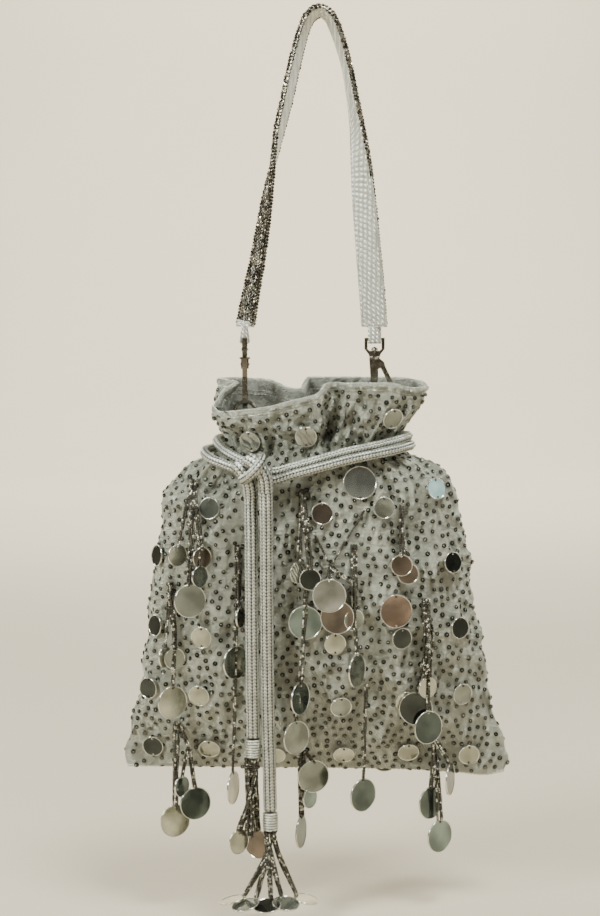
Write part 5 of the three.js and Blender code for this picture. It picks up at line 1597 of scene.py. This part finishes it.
class RETICULE_OT_tails(bpy.types.Operator):
    """Hang the drawstring's two braided ends, each with its whipped head and beaded tassel"""

    bl_idname = "reticule.tails"
    bl_label = "Cord ends and tassels"

    def execute(self, context):
        scene = context.scene
        rng = np.random.default_rng(29)
        for side, route in TAIL_ROUTES.items():
            path = evenly(curve_through(route), 1 * MM)
            tail = braided_piece(f"braid_tail_{side}", path, scene, CORD_DIAMETER, [f"tail_{side}"])
            tassel = self.make_tassel(scene, side, route[-1], rng)
        return {"FINISHED"}

    @staticmethod
    def make_tassel(scene, side, end, rng):
        """The whipped head, the beaded strands below it and their mirrors."""
        top = end - (0, 0, CLEARANCE)
        turns = 7
        profile = [(0, 0)]
        for index in range(turns * 8 + 1):
            share = index / (turns * 8)
            swell = 0.93 + 0.07 * math.sin(math.pi * share)
            groove = 0.15 * math.cos(share * turns * math.pi) ** 8
            profile.append((HEAD_RADIUS * (swell - groove), -HEAD_HEIGHT * share))
        profile.append((0, -HEAD_HEIGHT))
        head_points, head_faces = lathe(profile[::-1], 36)
        spin = 18 * np.arctan2(head_points[:, 1], head_points[:, 0]) + head_points[:, 2] / (0.3 * MM)
        twist = 0.16 * MM * np.sin(spin)
        radial = unit(np.column_stack([head_points[:, :2], np.zeros(len(head_points))]))
        wound = head_points + radial * twist[:, None] + top
        head = new_piece(f"tassel_head_{side}", wound, head_faces, [silver_yarn(scene)], "braid")
        # How deep each point lies in the whipped grooves, which the yarn's finish turns into painted shade.
        note_sunk(head, np.cos(head_points[:, 2] / HEAD_HEIGHT * turns * math.pi) ** 8)
        strands, mirrors = [], []
        rows, thick, bead = TASSEL_STRANDS[side], TASSEL_THICKNESS[side], scene.reticule_beads.tassel
        for index, (foot, size, manner, turn, tint) in enumerate(rows):
            foot, turn = MM * np.array(foot), math.radians(turn)
            angle = 2 * math.pi * index / len(rows)
            spread = HEAD_RADIUS - 1.7 * MM
            start = top + (spread * math.cos(angle), spread * math.sin(angle), 1 * MM - HEAD_HEIGHT)
            middle = start * 0.55 + foot * 0.45
            middle[0] = start[0] * 0.65 + foot[0] * 0.35
            path = curve_through([start, middle, foot])
            strands += bundle(evenly(path, 1 * MM), thick, bead, rng)
            if manner == "upright":
                axes = hanging_axes(turn)
                mirrors.append((foot + (0, 0, HOLE_INSET - size / 2), axes, size, tint))
            if manner == "lying":
                reach = size / 2 - HOLE_INSET
                level = math.cos(LYING_TILT)
                ahead = np.array([math.cos(turn) * level, math.sin(turn) * level, -math.sin(LYING_TILT)])
                aside = np.array([-math.sin(turn), math.cos(turn), 0])
                axes = np.stack([ahead, aside, np.cross(ahead, aside)], axis=1)
                mirrors.append((foot + ahead * reach, axes, size, tint))
        finishes, nodes = [string_beads(scene)], [f"tassel_{side}"]
        beads = new_piece(f"tassel_beads_{side}", *joined(strands), finishes, "beads", nodes)
        return [head, beads, mirror_piece(f"tassel_mirrors_{side}", mirrors, scene.reticule_sequins)]


class RETICULE_OT_drawstring(bpy.types.Operator):
    """Wind the braided drawstring round the neck, with its hitch at the left of the front"""

    bl_idname = "reticule.drawstring"
    bl_label = "Drawstring"

    def execute(self, context):
        scene = context.scene
        braided_piece("braid_drawstring", drawstring_path(), scene, TURN_DIAMETER, ["drawstring"])
        braided_piece("braid_hitch", curve_through(HITCH), scene, TURN_DIAMETER)
        for side, route in LEADS.items():
            braided_piece(f"braid_lead_{side}", curve_through(route), scene, CORD_DIAMETER + 2 * CLEARANCE)
        return {"FINISHED"}


# Snap hooks and tabs


class RETICULE_OT_hooks(bpy.types.Operator):
    """Finish the snap hooks and rings, and sew the cloth tabs that hold them"""

    bl_idname = "reticule.hooks"
    bl_label = "Snap hooks and tabs"

    def execute(self, context):
        scene = context.scene
        metal = plated_metal(scene.reticule_metal.gunmetal)
        for name in METAL_NODES:
            node = frame["nodes"][name]
            node.data.materials.clear()
            node.data.materials.append(metal)
        ribbon, cloth = strap_ribbon(scene), bpy.data.materials["silver_cloth"]
        for side in ("left", "right"):
            for part, finish, slot in (("strap_tab", ribbon, "ribbon"), ("ring_tab", cloth, "cloth")):
                self.soften(f"{part}_{side}", finish, slot)
        return {"FINISHED"}

    @staticmethod
    def soften(name, finish, slot):
        """A tab of sewn cloth over its solid, with rounded edges."""
        node = frame["nodes"][name]
        mesh = node.data.copy()
        mesh.materials.clear()
        mesh.materials.append(finish)
        piece = bpy.data.objects.new(f"sewn_{name}", mesh)
        bpy.context.collection.objects.link(piece)
        weld = piece.modifiers.new("weld", "WELD")
        weld.merge_threshold = 0.01 * MM
        flat = piece.modifiers.new("flat", "DECIMATE")
        flat.decimate_type = "DISSOLVE"
        flat.angle_limit = math.radians(2)
        bevel = piece.modifiers.new("bevel", "BEVEL")
        bevel.width = 0.35 * MM
        bevel.segments = 3
        bevel.limit_method = "ANGLE"
        graph = bpy.context.evaluated_depsgraph_get()
        made = bpy.data.meshes.new_from_object(piece.evaluated_get(graph))
        piece.modifiers.clear()
        piece.data = made
        made.shade_smooth()
        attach(piece, BODY)
        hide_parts(name)


# Stage


class RETICULE_OT_camera(bpy.types.Operator):
    """Set the camera level with the collar, looking slightly down"""

    bl_idname = "reticule.camera"
    bl_label = "Camera"

    def execute(self, context):
        stage = context.scene.reticule_stage
        data = bpy.data.cameras.new("camera")
        data.lens = stage.lens
        camera = bpy.data.objects.new("camera", data)
        context.collection.objects.link(camera)
        back = Vector((0, -math.cos(stage.pitch), math.sin(stage.pitch))) * stage.distance
        camera.location = Vector(stage.look_at) + back
        camera.rotation_euler = (math.pi / 2 - stage.pitch, 0, 0)
        context.scene.camera = camera
        return {"FINISHED"}


class RETICULE_OT_stage(bpy.types.Operator):
    """Set the floor, the backdrop, the lights and the room that the mirrors reflect"""

    bl_idname = "reticule.stage"
    bl_label = "Stage"

    def execute(self, context):
        stage = context.scene.reticule_stage
        self.make_floor(stage)
        for name, spot, size, power, aim in LIGHTS:
            data = bpy.data.lights.new(name, "AREA")
            data.size, data.energy = size, power
            data.color = LIGHT_COLOUR
            lamp = bpy.data.objects.new(name, data)
            lamp.location = spot
            target = Vector((0, aim, LIGHT_AIM_HEIGHT))
            lamp.rotation_euler = (target - Vector(spot)).to_track_quat("-Z", "Y").to_euler()
            context.collection.objects.link(lamp)
        self.light_room(context.scene)
        return {"FINISHED"}

    @staticmethod
    def make_floor(stage):
        """A floor that curves up into a backdrop behind."""
        lowest = cad_bounds[0][2] - stage.floor_gap
        bend, back = BACKDROP_BEND, BACKDROP
        profile = [(FLOOR_FRONT, lowest), (back - bend, lowest)]
        for angle in np.linspace(0, math.pi / 2, 12)[1:]:
            profile.append((back - bend + bend * math.sin(angle), lowest + bend * (1 - math.cos(angle))))
        profile.append((back, lowest + BACKDROP_HEIGHT))
        spots = [(x, y, z) for y, z in profile for x in (-FLOOR_REACH, FLOOR_REACH)]
        mesh = bpy.data.meshes.new("floor")
        mesh.from_pydata(spots, [], grid_faces(len(profile), 2, closed=False).tolist())
        mesh.shade_smooth()
        finish = Finish("floor", Roughness=0.85)
        cloud, base = finish.noise(0.4, 2), stage.floor
        finish.feed("Base Color", finish.between(cloud, shade(base, 0.95), shade(base, 1.05)))
        finish.bump(finish.noise(2 * MM), 0.1 * MM, 0.3)
        mesh.materials.append(finish.material)
        floor = bpy.data.objects.new("floor", mesh)
        bpy.context.collection.objects.link(floor)

    @staticmethod
    def light_room(scene):
        """A soft room: pale above and darker below."""
        world = bpy.data.worlds.new("room")
        scene.world = world
        world.use_nodes = True
        tree = world.node_tree
        background = tree.nodes["Background"]
        place = tree.nodes.new("ShaderNodeTexCoord")
        split = tree.nodes.new("ShaderNodeSeparateXYZ")
        tree.links.new(place.outputs["Generated"], split.inputs[0])
        ramp = tree.nodes.new("ShaderNodeValToRGB")
        tree.links.new(split.outputs["Z"], ramp.inputs["Fac"])
        while len(ramp.color_ramp.elements) < len(ROOM_TONES):
            ramp.color_ramp.elements.new(0.5)
        for element, (position, tone) in zip(ramp.color_ramp.elements, ROOM_TONES):
            element.position = position
            element.color = (*tone, 1)
        tree.links.new(ramp.outputs["Color"], background.inputs["Color"])
        background.inputs["Strength"].default_value = ROOM_STRENGTH


class RETICULE_PT_panel(bpy.types.Panel):
    """The reticule's pieces and their settings"""

    bl_label = "Reticule"
    bl_idname = "RETICULE_PT_panel"
    bl_space_type = "VIEW_3D"
    bl_region_type = "UI"
    bl_category = "Reticule"

    def draw(self, context):
        for operator in OPERATORS:
            self.layout.operator(operator.bl_idname)
        for name, group in SETTINGS.items():
            box = self.layout.box()
            box.label(text=group.__name__.replace("Settings", ""))
            settings = getattr(context.scene, name)
            for key in group.__annotations__:
                box.prop(settings, key)


SETTINGS = {
    "reticule_pouch": PouchSettings,
    "reticule_sequins": SequinSettings,
    "reticule_beads": BeadSettings,
    "reticule_cord": CordSettings,
    "reticule_strap": StrapSettings,
    "reticule_metal": MetalSettings,
    "reticule_stage": StageSettings,
}
OPERATORS = (
    RETICULE_OT_camera, RETICULE_OT_tails, RETICULE_OT_drawstring, RETICULE_OT_pouch,
    RETICULE_OT_cup_sequins, RETICULE_OT_flat_mirrors, RETICULE_OT_bead_strings, RETICULE_OT_strap,
    RETICULE_OT_hooks, RETICULE_OT_stage,
)


def register():
    for group in (*SETTINGS.values(), *OPERATORS, RETICULE_PT_panel):
        bpy.utils.register_class(group)
    for name, group in SETTINGS.items():
        setattr(bpy.types.Scene, name, PointerProperty(type=group))


def unregister():
    for name in SETTINGS:
        delattr(bpy.types.Scene, name)
    for group in reversed((*SETTINGS.values(), *OPERATORS, RETICULE_PT_panel)):
        bpy.utils.unregister_class(group)


def main():
    register()
    for operator in OPERATORS:
        group, name = operator.bl_idname.split(".")
        getattr(getattr(bpy.ops, group), name)()


if __name__ == "__main__":
    main()
